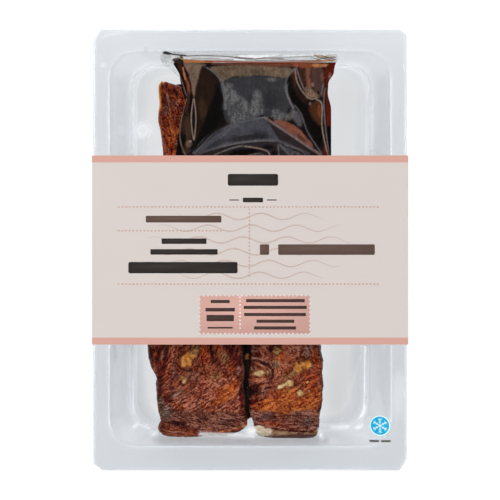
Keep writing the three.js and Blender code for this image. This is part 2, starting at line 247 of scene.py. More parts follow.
def placeOf(tree):
    return put(tree, "ShaderNodeTexCoord").outputs["Object"]


def attributeOf(tree, name, output="Fac"):
    return put(tree, "ShaderNodeAttribute", attribute_name=name).outputs[output]


def grain(tree, place, sizeMm, detail=2.0, rough=0.5, twist=0.0):
    sockets = {"Vector": place, "Scale": 1 / (sizeMm * mm), "Detail": detail, "Roughness": rough,
               "Distortion": twist}
    return put(tree, "ShaderNodeTexNoise", sockets).outputs["Fac"]


def sums(tree, operation, a, b=0.0, c=0.0):
    return put(tree, "ShaderNodeMath", {0: a, 1: b, 2: c}, operation=operation).outputs[0]


def span(tree, value, low, high, outLow=0.0, outHigh=1.0):
    sockets = {"Value": value, "From Min": low, "From Max": high, "To Min": outLow, "To Max": outHigh}
    return put(tree, "ShaderNodeMapRange", sockets, interpolation_type="SMOOTHSTEP").outputs[0]


def blendColour(tree, share, a, b, mode="MIX"):
    sockets = {0: share, 6: a, 7: b}
    return put(tree, "ShaderNodeMix", sockets, data_type="RGBA", blend_type=mode).outputs[2]


def colour(r, g, b):
    return (r, g, b, 1.0)


def gradient(tree, value, stops):
    made = put(tree, "ShaderNodeValToRGB", {"Fac": value})
    ramp = made.color_ramp
    while len(ramp.elements) < len(stops):
        ramp.elements.new(0.5)
    for element, (place, shade) in zip(ramp.elements, stops):
        element.position = place
        element.color = colour(*shade)
    return made.outputs["Color"]


def bumps(tree, height, depthMm, strength=1.0, under=None):
    sockets = {"Height": height, "Distance": depthMm * mm, "Strength": strength}
    if under is not None:
        sockets["Normal"] = under
    return put(tree, "ShaderNodeBump", sockets).outputs["Normal"]


def finish(tree, shader):
    put(tree, "ShaderNodeOutputMaterial", {"Surface": shader})


# Clear plastic: what is behind it shows through, with a little milkiness, and its gloss grows
# to the edges. The attribute "bend" whitens its haze: on the tray a painted highlight along the
# rounds of the well and the lip, and on the film painted glare and bright bands, with some
# milkiness where the film hangs free. Another attribute darkens what shows through: painted shade.
# "onFood" is 1 where it clings to food, which crinkles it and takes its gloss. The milky body
# also glows a little: painted light.
def clearPlastic(name, look):
    material, tree = newMaterial(name)
    place = placeOf(tree)
    bend = attributeOf(tree, "bend")
    ripple = grain(tree, place, look["rippleSize"], 3)
    normal = bumps(tree, ripple, look["rippleDepth"])
    if look.get("crinkle"):
        fine = grain(tree, place, look["crinkle"]["size"], 4, 0.6, 1.2)
        creased = sums(tree, "MULTIPLY", fine, attributeOf(tree, "onFood"))
        normal = bumps(tree, creased, look["crinkle"]["depth"], 1.0, normal)
    cloud = grain(tree, place, look["cloudSize"], 2)
    # painted highlight: the bend attribute whitens the haze
    haze = sums(tree, "MULTIPLY_ADD", bend, look["hazeAndHighlight"], look["haze"])
    haze = sums(tree, "MULTIPLY", haze, span(tree, cloud, 0.2, 0.8, 0.7, 1.3))
    # painted shade: less light comes through where the dim attribute is high
    tint = blendColour(tree, attributeOf(tree, "dim"), colour(*look["tint"]), colour(*look["shadeTint"]))
    through = put(tree, "ShaderNodeBsdfTransparent", {"Color": tint})
    # the glow is painted light
    body = put(tree, "ShaderNodeBsdfPrincipled", {
        "Base Color": colour(*look["hazeColour"]), "Roughness": 0.4, "Normal": normal,
        "Emission Color": colour(*look["hazeColour"]), "Emission Strength": look["glow"]})
    inner = put(tree, "ShaderNodeMixShader", {0: haze, 1: through.outputs[0], 2: body.outputs[0]})
    gloss = put(tree, "ShaderNodeBsdfGlossy", {
        "Color": colour(1, 1, 1), "Roughness": look["roughness"], "Normal": normal})
    facing = put(tree, "ShaderNodeLayerWeight", {"Blend": 0.5, "Normal": normal}).outputs["Facing"]
    edge = sums(tree, "MULTIPLY_ADD", sums(tree, "POWER", facing, 4.0), look["edgeGloss"], look["gloss"])
    shine = sums(tree, "MULTIPLY_ADD", attributeOf(tree, "onFood"), -look.get("foodDull", 0), 1.0)
    edge = sums(tree, "MULTIPLY", edge, shine)
    outer = put(tree, "ShaderNodeMixShader", {0: edge, 1: inner.outputs[0], 2: gloss.outputs[0]})
    finish(tree, outer.outputs[0])
    return material


# Tray: one clear sheet, in rows of points that grow outwards from the middle of its floor

trayPlan = {
    "flangeWidth": 149.2, "flangeLength": 210, "flangeTop": 28, "wall": 0.6, "floorTop": 1.3,
    # half width, half length and corner of the well at its mouth and at its floor
    "mouth": (66.5, 93.7, 12.8), "mouthShift": 0.6, "floor": (54.7, 85.6, 11), "floorShift": 1.9,
    "floorRound": 3.4, "floorSlant": 0.022, "draft": 10,
    # the lip is the round from the wall to the flange, and its round starts inside the mouth; the lip gets
    # a painted highlight
    "lipRound": 1.2, "lipWidth": 3.1, "lipStart": 0.1, "lipHighlight": 0.3,
    "pointsPerCorner": 14, "roundSteps": 8, "wallSteps": 5, "lipSteps": 4,
    # (inset, bend) of the rows inside the floor's edge, and of those at the flange's edge; bend is a
    # painted highlight
    "floorRows": ((6, 0), (1.2, 0.25)), "flangeRows": ((1, 0), (0, 0.6)),
    # how far each corner of the flange is cut off along x and y, from the right low one round
    "cuts": ((3.4, 5.4), (3.4, 2.4), (3.7, 5.8), (4.3, 3.4)), "cutInset": 0.4,
    # painted shade of each part in the middle, and how much more at the low end than there: the tray is
    # painted darker towards its low end
    "shadeDims": {"floor": (0.3, 0.2), "wall": (0.95, 0.07), "rim": (1.1, 0), "flange": (0.78, 0.11)},
    "shadeReach": 90, "wallFrom": 3,  # how far out from the floor's edge the wall starts
    # how much less painted shade the walls of the two ends get, and from where to where that grows
    "endLessShade": 0.3, "endReach": (78, 88),
}
# The haze at bends is the painted highlight along the rounds, the glow is painted light from the milky
# body, and the dim tint is what the painted shade lets through
trayLook = {
    "tint": (0.983, 0.99, 0.997), "shadeTint": (0.795, 0.812, 0.83), "haze": 0.01, "hazeAndHighlight": 0.26,
    "hazeColour": (0.88, 0.92, 0.96), "gloss": 0.03, "edgeGloss": 0.35, "roughness": 0.08,
    "rippleSize": 26, "rippleDepth": 0.5, "cloudSize": 18, "glow": 0.2,
}


# A rounded rectangle, counter-clockwise, with the same number of points whatever its size
def roundedOutline(halfX, halfY, corner, centreY, steps):
    outline = []
    corners = ((1, -1, -90), (1, 1, 0), (-1, 1, 90), (-1, -1, 180))
    for signX, signY, start in corners:
        for k in range(steps + 1):
            a = radians(start + 90 * k / steps)
            outline.append((signX * (halfX - corner) + corner * cos(a),
                            centreY + signY * (halfY - corner) + corner * sin(a)))
    return outline


# The well's side in section: out from the floor's edge, up from the floor, and its bend, a painted
# highlight that is strongest halfway round the floor's round
def wellSection(plan):
    run = plan["mouth"][0] - plan["floor"][0]
    depth = plan["flangeTop"] - plan["floorTop"]
    tilt = radians(90 - plan["draft"])
    lead = plan["lipStart"]
    section = []
    for k in range(plan["roundSteps"] + 1):
        a = tilt * k / plan["roundSteps"]
        bend = sin(pi * k / plan["roundSteps"])
        section.append((plan["floorRound"] * sin(a), plan["floorRound"] * (1 - cos(a)), bend))
    low = section[-1]
    high = (run - lead, depth - plan["lipRound"])
    for k in range(1, plan["wallSteps"]):
        t = k / plan["wallSteps"]
        section.append((low[0] + (high[0] - low[0]) * t, low[1] + (high[1] - low[1]) * t, 0))
    for k in range(plan["lipSteps"] + 1):
        a = radians(90) * k / plan["lipSteps"]
        out = run - lead + (plan["lipRound"] + lead) * (1 - cos(a))
        section.append((out, depth - plan["lipRound"] * (1 - sin(a)), plan["lipHighlight"]))
    return section


def wellOutline(plan, out):
    share = out / (plan["mouth"][0] - plan["floor"][0])
    floorHalfX, floorHalfY, floorCorner = plan["floor"]
    halfY = floorHalfY + (plan["mouth"][1] - floorHalfY) * share
    corner = floorCorner + (plan["mouth"][2] - floorCorner) * share
    centreY = plan["floorShift"] * (1 - share) + plan["mouthShift"] * share
    slant = plan["floorSlant"] * (1 - share) / floorHalfX
    outline = roundedOutline(floorHalfX + out, halfY, corner, centreY, plan["pointsPerCorner"])
    return [(x + slant * y * max(0, x), y) for x, y in outline]


# The flange's outline has its corners cut off straight
def flangeOutline(plan, inset):
    outline = []
    steps = plan["pointsPerCorner"]
    halfX = plan["flangeWidth"] / 2
    halfY = plan["flangeLength"] / 2
    turns = ((1, -1), (1, 1), (-1, 1), (-1, -1))
    shift = plan["cutInset"] * inset
    for index, ((signX, signY), (cutX, cutY)) in enumerate(zip(turns, plan["cuts"])):
        start = (signX * (halfX - cutX - shift), signY * (halfY - inset))
        end = (signX * (halfX - inset), signY * (halfY - cutY - shift))
        if index % 2:
            start, end = end, start
        for k in range(steps + 1):
            outline.append(tuple(a + (b - a) * k / steps for a, b in zip(start, end)))
    return outline


def keyOf(v):
    return tuple(round(c, 5) for c in v.co)


# Extrudes a closed row of points and moves the new row onto the next outline
def growTo(bm, row, outline, z):
    edges = [bm.edges.get((a, b)) for a, b in zip(row, row[1:] + row[:1])]
    grown = bmesh.ops.extrude_edge_only(bm, edges=edges)["geom"]
    fresh = {keyOf(v): v for v in grown if isinstance(v, bmesh.types.BMVert)}
    ordered = [fresh[keyOf(v)] for v in row]
    for v, (x, y) in zip(ordered, outline):
        v.co = (x, y, z)
    return ordered


def buildTray(plan):
    bm = bmesh.new()
    hazeHighlightLayer = bm.verts.layers.float.new("bend")
    shadeLayer = bm.verts.layers.float.new("dim")
    steps = plan["pointsPerCorner"]
    rows = [(wellOutline(plan, -inset), plan["floorTop"], bend, "floor")
            for inset, bend in plan["floorRows"]]
    for out, up, bend in wellSection(plan):
        part = "wall" if out > plan["wallFrom"] else "floor"
        rows.append((wellOutline(plan, out), plan["floorTop"] + up, bend, part))
    # the last rows of the lip look like the rim and the flange
    lipParts = ("rim", "flange", "flange", "flange")
    rows[-4:] = [(outline, z, bend, part) for (outline, z, bend, _), part in zip(rows[-4:], lipParts)]
    mouthX, mouthY, mouthCorner = plan["mouth"]
    lip = plan["lipWidth"]
    rows.append((roundedOutline(mouthX + lip, mouthY + lip, mouthCorner + lip, plan["mouthShift"], steps),
                 plan["flangeTop"], 0, "flange"))
    for inset, bend in plan["flangeRows"]:
        rows.append((flangeOutline(plan, inset), plan["flangeTop"], bend, "flange"))
    outline, z, _, _ = rows[0]
    row = bmesh.ops.create_circle(bm, cap_ends=True, segments=len(outline), radius=1)["verts"]
    for v, (x, y) in zip(row, outline):
        v.co = (x, y, z)
    for outline, z, bend, part in rows[1:]:
        row = growTo(bm, row, outline, z)
        # bend is painted highlight; dim is painted shade, darker towards the low end and less on the end
        # walls
        middle, slope = plan["shadeDims"][part]
        for v in row:
            v[hazeHighlightLayer] = bend
            end = plan["endLessShade"] * ease(abs(v.co.y), *plan["endReach"]) if part == "wall" else 0
            v[shadeLayer] = middle - slope * v.co.y / plan["shadeReach"] - end
    bmesh.ops.recalc_face_normals(bm, faces=bm.faces)
    if bm.faces[0].normal.z < 0:
        bmesh.ops.reverse_faces(bm, faces=bm.faces)
    toMetres(bm)
    return meshOf(bm, "tray_sheet")


trayPiece = addPiece("tray_sheet", buildTray(trayPlan), clearPlastic("clearTray", trayLook),
                     ["tray"])
thicken(trayPiece, "wall", trayPlan["wall"], even=True)
print("tray formed")


# Fillets: each starts from a smooth copy of its CAD solid, and gets flakes, cracks and paint

filletPlan = {
    "voxel": 0.66, "smoothing": 9, "grow": 0.3,
    # side darkening is painted shade on the upright sides
    "lumpSize": 6.5, "lumpHeight": 0.8, "sideShadeShare": 0.45,
    "fibreLength": 3.8, "fibreWidth": 0.72, "fibreHeight": 0.2,
    "threadLength": 2.4, "threadWidth": 0.5, "crackLength": 6, "crackWidth": 2.2, "crackDepth": 0.75,
    "crinkleSize": 1.15, "crinkleHeight": 0.3, "ridgeHeight": 0.45, "warpSize": 8, "warp": 1.6,
    "foldSize": 2.3, "crackEdge": 0.07,
    # shares of each grain in the tone, and how leather smooths the threads and crinkles the rest
    "toneMiddle": 0.53, "toneLump": 0.3, "toneThread": 1.2, "fibreShare": 0.75, "threadShare": 0.85,
    "crinkleShare": 0.3, "leatherCrinkle": 0.5, "leatherFold": 0.22, "leatherSmooth": 0.5, "fray": 0.8,
    # (x from, x to, y from, y to) of the parts in sight, and how high they start
    "seen": [(-50, 35, -92, -43), (-46, -28, 46, 84)], "seenAbove": 4,
    # how far up a face looks (1 is straight up) where it counts as top, side and underside
    "topFacing": 0.4, "sideFacing": 0.5, "underFacing": (-0.8, -0.3), "sideEven": 0.3,
    # the foot stays smooth up to footFlat, and has its full grain footRise above that
    "footFlat": 0.5, "footRise": 2.5, "topEnd": (70, 80), "topWidth": 12,
}
# Where flakes part: how much noise bends the lines, how long their pieces are, which of them
# show, half the width of a groove, and where it fades at the rim of its field
partingPlan = {"bend": 0.42, "length": 3.5, "shown": (-0.25, 0.2), "width": 0.55, "fade": (0.8, 1.3)}
holdShare = 0.2  # of each stretch between two turns, the share at each end that doesn't turn
# The shades of the glaze as they look; the last value is how even the shade is. Lilac is a painted sheen of
# the wet glaze, and black is painted shade in the gap and a painted film shadow
fishPalette = {
    "flesh": (119, 54, 34, 0.0), "rose": (152, 79, 57, 0.0), "ember": (162, 78, 34, 0.4),
    "rust": (144, 54, 20, 0.0), "gold": (226, 156, 76, 0.7), "maroon": (76, 14, 5, 0.0),
    "deep": (50, 9, 4, 0.1), "band": (128, 71, 56, 0.15), "slate": (104, 76, 66, 0.2),
    "plum": (98, 62, 56, 0.7), "lilac": (140, 90, 76, 0.2), "olive": (116, 82, 46, 0.2),
    "cream": (212, 190, 164, 1.0), "tan": (150, 110, 82, 0.8), "black": (14, 6, 5, 0.8),
    "under": (112, 62, 42, 0.6),
}
# The gap between the fillets, painted black as shade
gapShadowOutline = [(-4.4, -42), (-4, -56), (-3.4, -66), (-2.7, -74), (-1.8, -80.6), (-0.9, -74), (-0.2, -66),
              (0.4, -56), (0.8, -42)]
# Left fillet: its paint, its cracks and its raised edges. A crack or an edge is (half width,
# strength, points), as a stroke is. Cracks are sunk, and darkened in the material as painted shade.
leftPaint = [
    (panel, "rose", 3.0, [(-37, -76), (-31, -68), (-20, -63), (-6, -62), (-4, -72), (-9, -77.4),
        (-24, -77)]),
    *each(spot, "rust", (-21.7, -49.5, 2.6, 6, 5, 1.0), (-45.2, -49.5, 1.2, 5, 0, 0.4),
        (-15, -46.8, 1.6, 1.8, 0, 0.9), (-9.2, -55.8, 2, 3, 10, 0.9)),
    *each(spot, "ember", (-10.5, -67.6, 6, 3.6, 38, 1.0), (-13.6, -72, 4.4, 2, 30, 1.0)),
    *each(spot, "rust", (-7, -64, 3.2, 2.4, 30, 0.8), (-25, -69.6, 9, 2, 36, 0.5)),
    (spot, "ember", -34.4, -74.6, 3, 1.6, -30, 0.7), (spot, "rust", -20, -75.6, 4.6, 1.4, -22, 0.5),
    (spot, "rose", -38, -51, 1.8, 7, -14, 0.9), (spot, "rust", -40.4, -60, 1.4, 4.6, -8, 0.35),
    (spot, "rose", -40, -66.4, 1.8, 2.4, 0, 0.3),
    *each(spot, "maroon", (-47.4, -51, 1.2, 7, 8, 1.0), (-43.6, -50, 1.2, 6, -4, 1.0),
        (-41.2, -55, 1.3, 10, -14, 1.0), (-43, -65, 1.4, 7, 0, 1.0), (-39.2, -71.2, 2.6, 3.2, -30, 1.0),
        (-37.2, -66, 1.2, 2.6, 20, 0.8), (-8, -49.6, 2.6, 6, 6, 0.9), (-5.6, -57, 1.4, 7, 0, 0.9),
        (-4.2, -69, 1.3, 9, 3, 1.0), (-27.6, -62.4, 3, 1, 20, 0.4)),
    *each(spot, "deep", (-18.4, -48.4, 0.9, 5, 4, 1.0), (-34.6, -61, 1, 3, -10, 0.8)),
    (panel, "band", 1.6, [(-44, -71), (-40, -73.4), (-36, -76.2), (-30, -77.4), (-22, -77), (-10, -78),
        (-4, -79.4), (-3, -83.4), (-8, -86), (-16, -86.6), (-24, -85.8), (-30, -84), (-36, -82.6),
        (-43, -81.8)]),
    *each(spot, "slate", (-40.4, -77.6, 3.6, 3.8, -25, 1.0), (-42.6, -73.4, 1.4, 3, 0, 0.9)),
    (spot, "maroon", -16.2, -52.6, 2, 3, 10, 0.8), (spot, "slate", -36.2, -57, 1, 5, -8, 0.5),
    (spot, "deep", -10, -47.4, 0.9, 3.2, 0, 0.6), (spot, "slate", -35.8, -69.4, 2.8, 1.1, 35, 0.7),
    (spot, "deep", -11, -83, 4, 1.1, -20, 0.5), (spot, "maroon", -7, -82.8, 2.2, 1.4, 0, 0.5),
    # painted sheen
    *each(spot, "lilac", (-41.2, -48.4, 0.9, 3.6, -22, 0.9), (-35, -66.2, 4, 0.7, 35, 0.4),
        (-34, -68, 3.4, 0.6, 35, 0.4), (-38.2, -74.8, 2, 1.6, -30, 0.7),
        (-28.4, -73.4, 4.6, 1.6, 35, 0.35), (-20, -66.4, 7, 1.4, 32, 0.35), (-5.6, -58, 0.9, 2.2, 0, 0.6)),
    *each(spot, "olive", (-16, -60.6, 3, 1.8, 20, 0.45), (-26.6, -46.4, 2, 2.4, 0, 0.6),
        (-12, -52.4, 2, 3, 10, 0.7)),
    (spot, "slate", -28, -60.4, 3.4, 2, 0, 0.3),
    (panel, "flesh", 0.9, [(-43, -82.4), (-38, -82.6), (-35, -84), (-33.6, -86.6), (-38, -87.2),
        (-43, -86.8)]),
    (spot, "maroon", -29.4, -85.2, 5.6, 1.8, -6, 0.7), (spot, "deep", -35, -83.2, 4.6, 0.9, -14, 1.0),
    # painted sheen
    (spot, "lilac", -36, -86.9, 5, 0.35, 0, 0.5),
    *each(stroke, "rust", (0.55, 0.9, [(-44, -88), (-34, -88.2), (-24, -87.6)]),
        (0.6, 0.9, [(-22, -86.6), (-16, -87), (-11, -86.6), (-7.6, -86.8), (-4, -85), (-1.6, -83.6)])),
    (stroke, "gold", 0.25, 0.25, [(-17, -86.2), (-13.6, -86.8), (-10, -86.2), (-8.4, -85.4), (-4.4, -84.4),
        (-2.4, -83.8)]),
    (stroke, "maroon", 0.7, 1.0, [(-1, -79), (-0.9, -82), (-2.6, -85), (-6, -87), (-9, -87.4)]),
    # painted sheen on raised edges
    *each(stroke, "lilac", (0.3, 0.7, [(-30, -76.6), (-26.6, -78.4)]),
        (0.35, 0.7, [(-25, -74.6), (-20.6, -77.6)]), (0.25, 0.5, [(-20, -77.6), (-14, -79.4), (-9, -80)]),
        (0.3, 0.6, [(-36.4, -71.6), (-31.6, -68.8)])),
    (panel, "rust", 2.0, [(-45, 46), (-44, 82), (-28, 82), (-28, 46)]),
    (spot, "ember", -37.4, 58.6, 1.8, 6.5, 6, 0.7), (spot, "rose", -36, 70.4, 2.2, 3.4, -30, 0.9),
    *each(spot, "maroon", (-36, 76.4, 3.6, 2, -30, 0.8), (-40.6, 72.4, 0.9, 5, 8, 1.0),
        (-41.4, 62, 0.9, 6, 8, 0.7), (-34, 64, 1.4, 7, -14, 0.8)),
    # painted sheen
    (spot, "lilac", -39.4, 73.6, 0.9, 3.2, 12, 0.8),
    *each(spot, "slate", (-40, 66.6, 1, 2.6, 10, 0.7), (-34.2, 49.4, 1.6, 3, 0, 0.8)),
    # painted sheen
    (spot, "lilac", -37, 63, 1.2, 2, 0, 0.4),
    (stroke, "rust", 0.7, 0.9, [(-32, 79.4), (-38, 80.4), (-42.4, 81), (-42.8, 74), (-43, 68)]),
    (stroke, "gold", 0.6, 1.0, [(-41.6, 80.8), (-43, 80.4), (-43.5, 77), (-43.2, 73), (-43.5, 67)]),
    # painted shade: the gap between the fillets in black
    (panel, "black", 1.8, gapShadowOutline),
]
leftCracks = [
    (0.4, 1.0, [(-33.6, -74.8), (-33.1, -72.6), (-31.5, -71)]),
    (0.35, 0.9, [(-30, -70.3), (-28.6, -69.5)]), (0.35, 1.0, [(-26, -74.2), (-25.2, -73), (-24.6, -70.8)]),
    (0.4, 1.0, [(-22.6, -71.6), (-20.8, -69.8)]), (0.35, 0.9, [(-18.8, -73.4), (-17.6, -72.4)]),
    (0.35, 1.0, [(-15.6, -76.2), (-13.6, -74.8)]), (0.3, 0.8, [(-25.6, -74.4), (-24, -75.2)]),
    (0.35, 0.7, [(-29, -67), (-26, -65.4)]), (0.35, 0.9, [(-13.4, -68.6), (-12, -67)]),
    (0.4, 0.9, [(-12.6, -64.6), (-9, -62.8)]), (0.35, 0.8, [(-32.2, -69), (-30.2, -67.6)]),
    (0.5, 0.9, [(-18.9, -45), (-18.6, -49), (-17.4, -52.6), (-18.6, -55)]),
    (0.5, 0.9, [(-34, -55.4), (-31.4, -57.6), (-27.6, -57.6)]), (0.5, 1.0, [(-13.4, -83.2), (-10, -84.6)]),
    (0.4, 0.9, [(-11.5, -81.2), (-7.4, -82.4)]), (0.4, 0.9, [(-7, -80.6), (-3, -82)]),
    (0.35, 0.7, [(-41, -72.6), (-36, -77), (-30, -79.2)]),
    (0.5, 1.0, [(-41, -82.4), (-35, -82.6), (-29, -84.4)]), (0.3, 0.7, [(-24.5, -80.4), (-14, -83.4)]),
    (0.3, 0.6, [(-34, -79.6), (-22, -83.2)]), (0.35, 0.8, [(-41.8, 79), (-38.6, 74.5), (-35.8, 71)]),
    (0.4, 0.9, [(-40, 79.2), (-36.6, 75.6), (-34, 73)]), (0.4, 0.9, [(-42, 74), (-40.6, 69), (-38.6, 66)]),
    (0.3, 0.8, [(-38, 70.6), (-36.4, 66), (-35, 62)]),
    (0.35, 0.8, [(-41.8, 66.4), (-40.4, 60), (-39, 54)]),
    (0.3, 0.7, [(-39.6, 62), (-38, 56), (-36.6, 50)]), (0.3, 0.7, [(-36.8, 64), (-35.4, 57)]),
    (0.35, 0.8, [(-41, 58), (-40, 50)]),
]
leftRidges = [
    (0.45, 0.8, [(-30, -76.6), (-26.6, -78.4)]), (0.5, 0.8, [(-25, -74.6), (-20.6, -77.6)]),
    (0.5, 0.8, [(-37.6, -66), (-33, -64.2)]), (0.4, 0.8, [(-37, -67.4), (-32, -65.4)]),
    (0.45, 0.8, [(-36.4, -71.6), (-31.6, -69)]), (0.5, 0.8, [(-40.4, 77), (-38.6, 72), (-36, 69)]),
]

# Right fillet: its paint, its cracks and its raised edges
rightPaint = [
    (panel, "ember", 2.6, [(2.4, -77.4), (4.6, -73.6), (9, -70.6), (13, -67.4), (22, -66.4), (32.6, -66),
        (33, -77), (24, -77.4), (14, -78.6)]),
    *each(spot, "rust", (27, -72, 6, 3, 20, 0.5), (12, -69, 4, 1.6, 20, 0.5),
        (15, -50, 1.9, 4.4, -10, 1.0), (31, -53, 1.5, 6, 8, 0.9), (24, -57.6, 4.6, 4, 0, 0.5),
        (28.4, -62.6, 3.6, 4.6, 0, 0.8)),
    *each(spot, "rose", (4.8, -62, 4, 1.7, 10, 0.9), (7, -48.4, 2, 3.4, 0, 0.8),
        (14, -59, 2.6, 2.4, 0, 0.6), (22, -49, 6, 3.6, 0, 0.9)),
    *each(spot, "maroon", (3.2, -50.8, 1.7, 2.8, 0, 1.0), (1, -54.4, 1.2, 1.4, 0, 0.9)),
    (spot, "deep", 2.4, -66.8, 3.6, 4, 10, 1.0), (spot, "maroon", 1.6, -72.6, 2.8, 2.6, 0, 1.0),
    (spot, "rust", 18.6, -52, 1.4, 1.4, 0, 0.7), (spot, "maroon", 10.2, -46.4, 0.9, 2.4, 0, 0.9),
    (spot, "rust", 2.4, -74.4, 1.2, 1.0, 0, 0.9), (spot, "slate", 28, -48.4, 1.6, 3.8, -14, 0.7),
    (spot, "ember", 13.4, -52.4, 1.7, 3, -20, 0.9), (spot, "deep", 24.4, -51.6, 3, 1, 10, 0.6),
    (spot, "olive", 12.6, -54.2, 1.8, 2, 20, 0.7), (spot, "slate", 12.8, -54.6, 1.5, 1.6, 20, 0.6),
    (spot, "rose", 16.8, -55.2, 2.4, 1.8, 0, 0.9),
    *each(spot, "olive", (20.6, -58.6, 1.8, 2, 0, 0.8), (17.6, -60.8, 2.4, 1.1, 0, 0.6)),
    (panel, "band", 1.4, [(-1, -76.6), (6, -77.6), (12, -78.6), (17, -79.6), (22, -77.4), (34, -76.6),
        (34, -87), (20, -86), (12, -84.8), (2, -83)]),
    (spot, "plum", 8, -79.4, 3.4, 2, 0, 1.0), (spot, "slate", 28.4, -82.6, 2.8, 2.6, -30, 0.9),
    (spot, "rust", 13, -83.4, 6.4, 1.4, -8, 0.8), (spot, "rose", 15, -81, 3, 1.4, 0, 0.6),
    # painted sheen
    *each(spot, "lilac", (0.6, -46.8, 2.8, 1.8, -40, 0.9), (1.6, -56.8, 1.5, 0.8, 0, 1.0),
        (6.4, -67.4, 1.2, 4, -10, 0.7), (8.8, -62.4, 1.2, 1.8, -30, 0.5), (23, -47.6, 5, 1.4, 0, 0.4),
        (26, -67.2, 1.3, 0.8, 0, 0.6), (1.4, -77.8, 2, 0.8, -20, 0.8), (24, -78, 4, 0.8, -15, 0.7)),
    # painted sheen on raised edges
    *each(stroke, "lilac", (0.4, 0.9, [(0.4, -52), (4, -51.8), (8.6, -53.8), (11, -56.4)]),
        (0.35, 0.8, [(4, -54.6), (7.4, -55.4), (9.6, -57.6), (9.8, -60.6)])),
    (stroke, "tan", 0.3, 1.0, [(12.2, -51.2), (13, -53.2), (14.2, -54.6)]),
    # painted sheen
    *each(stroke, "lilac", (0.28, 0.7, [(17.4, -81.4), (21.6, -82), (24.6, -84.4), (27, -86.4)]),
        (0.28, 0.6, [(20.6, -77.4), (23.8, -80)])),
    (stroke, "maroon", 0.9, 1.0, [(33.6, -44), (34.6, -52), (34.8, -60), (34.8, -70), (33.6, -76)]),
    # painted shadow of the film along the right edge
    (stroke, "black", 0.6, 0.9, [(33.4, -81), (33, -85)]),
    (panel, "tan", 0.7, [(8, -85.6), (14, -86.8), (22, -87.4), (29.6, -87.8), (28, -88.4), (16, -88.6),
        (9, -88.4)]),
    (stroke, "maroon", 0.5, 0.8, [(12, -86), (20, -86.7), (30, -87)]),
    (panel, "cream", 0.8, [(2.4, -84.6), (4.4, -84), (7.4, -84.8), (10, -86), (9.8, -88), (6, -88.6),
        (2.8, -88)]),
    (stroke, "deep", 0.5, 1.0, [(6, -89.3), (18, -89.5), (31, -89)]),
    # painted shade: the gap between the fillets in black
    (spot, "olive", 31.4, -86.6, 1.3, 1.6, 0, 0.8), (panel, "black", 1.8, gapShadowOutline),
]
rightCracks = [
    (0.5, 1.0, [(0.8, -52.6), (3, -53), (5.6, -53.4), (8.4, -55), (10.4, -56.8), (11.1, -59),
        (10.6, -61.2), (9.2, -63)]),
    (0.4, 0.8, [(-1.4, -46.6), (0.4, -49.4), (2.2, -51.2)]), (0.4, 0.8, [(9.4, -49.4), (10.6, -52.4)]),
    (0.35, 0.8, [(24.6, -59.6), (23.6, -61.6)]), (0.35, 0.8, [(20.4, -59.8), (20.6, -62)]),
    (0.35, 0.8, [(5.4, -75.6), (6, -73.6)]), (0.3, 0.7, [(12.2, -77), (12.6, -75.4)]),
    (0.3, 0.7, [(15.6, -73.4), (19, -72.8)]), (0.3, 0.7, [(22, -71), (26, -69.4)]),
    (0.3, 0.7, [(24, -75.4), (28, -74)]), (0.3, 0.7, [(12, -69.4), (10.6, -72.4)]),
    (0.4, 0.8, [(28.6, -50.6), (27, -53)]), (0.3, 0.7, [(21, -80.8), (25, -82.6), (28.6, -85)]),
    (0.35, 0.9, [(5.1, -86.6), (5.3, -86.5)]), (0.3, 0.8, [(7.3, -87.6), (7.5, -87.6)]),
    (0.35, 0.9, [(10, -85.4), (18, -86.8), (30, -87.2)]),
]
rightRidges = [
    (0.5, 0.8, [(0.4, -52), (4, -51.8), (8.6, -53.8), (11.8, -56.4), (12.2, -59.4)]),
    (0.4, 0.8, [(4, -54.6), (7.4, -55.4), (9.6, -57.6), (9.8, -60.6)]),
    (0.4, 0.8, [(12.2, -51.2), (14.2, -54.6)]),
]

# Turns give the way that the muscle runs, in degrees, at heights along the fillet. Lines are
# where its flakes part: (x, y, half length, half width, turn, spacing, strength). Leather is
# where the glaze is crinkled: (x, y, half length, half width, turn, strength). The top's slope
# is how much lower its upper end is cut from one side to the other.
filletSides = {
    "fillet_left": {
        "seed": 3, "topSlope": 0.3,
        "turns": [(-87, -8), (-80, -22), (-76, 34), (-62, 40), (-52, 66), (44, -66), (82, -54)],
        "lines": [(-22, -69.5, 16, 7, 38, 2.9, 0.8), (-24, -80, 21, 4, -20, 1.6, 0.8),
                  (-38, 62, 8, 22, -62, 2.4, 0.8)],
        "leather": [(-21, -60.5, 14, 5, 0, 1.0), (-36, -60, 4, 8, 0, 0.7), (-29, -85, 6, 2.2, 0, 0.8)],
        "layers": leftPaint, "cracks": leftCracks, "ridges": leftRidges,
    },
    "fillet_right": {
        "seed": 11, "topSlope": 0.0,
        "turns": [(-86, 4), (-79, -12), (-75, 26), (-62, 30), (-54, -52), (60, -50)],
        "lines": [(19, -71.5, 15, 6, 27, 1.8, 0.6), (20, -80.4, 15, 3.4, -22, 1.6, 0.7)],
        "leather": [(16, -49, 18, 5, 0, 0.9), (19, -71, 15, 6, 0, 0.8), (16, -60, 14, 5, 0, 0.6)],
        "layers": rightPaint, "cracks": rightCracks, "ridges": rightRidges,
    },
}


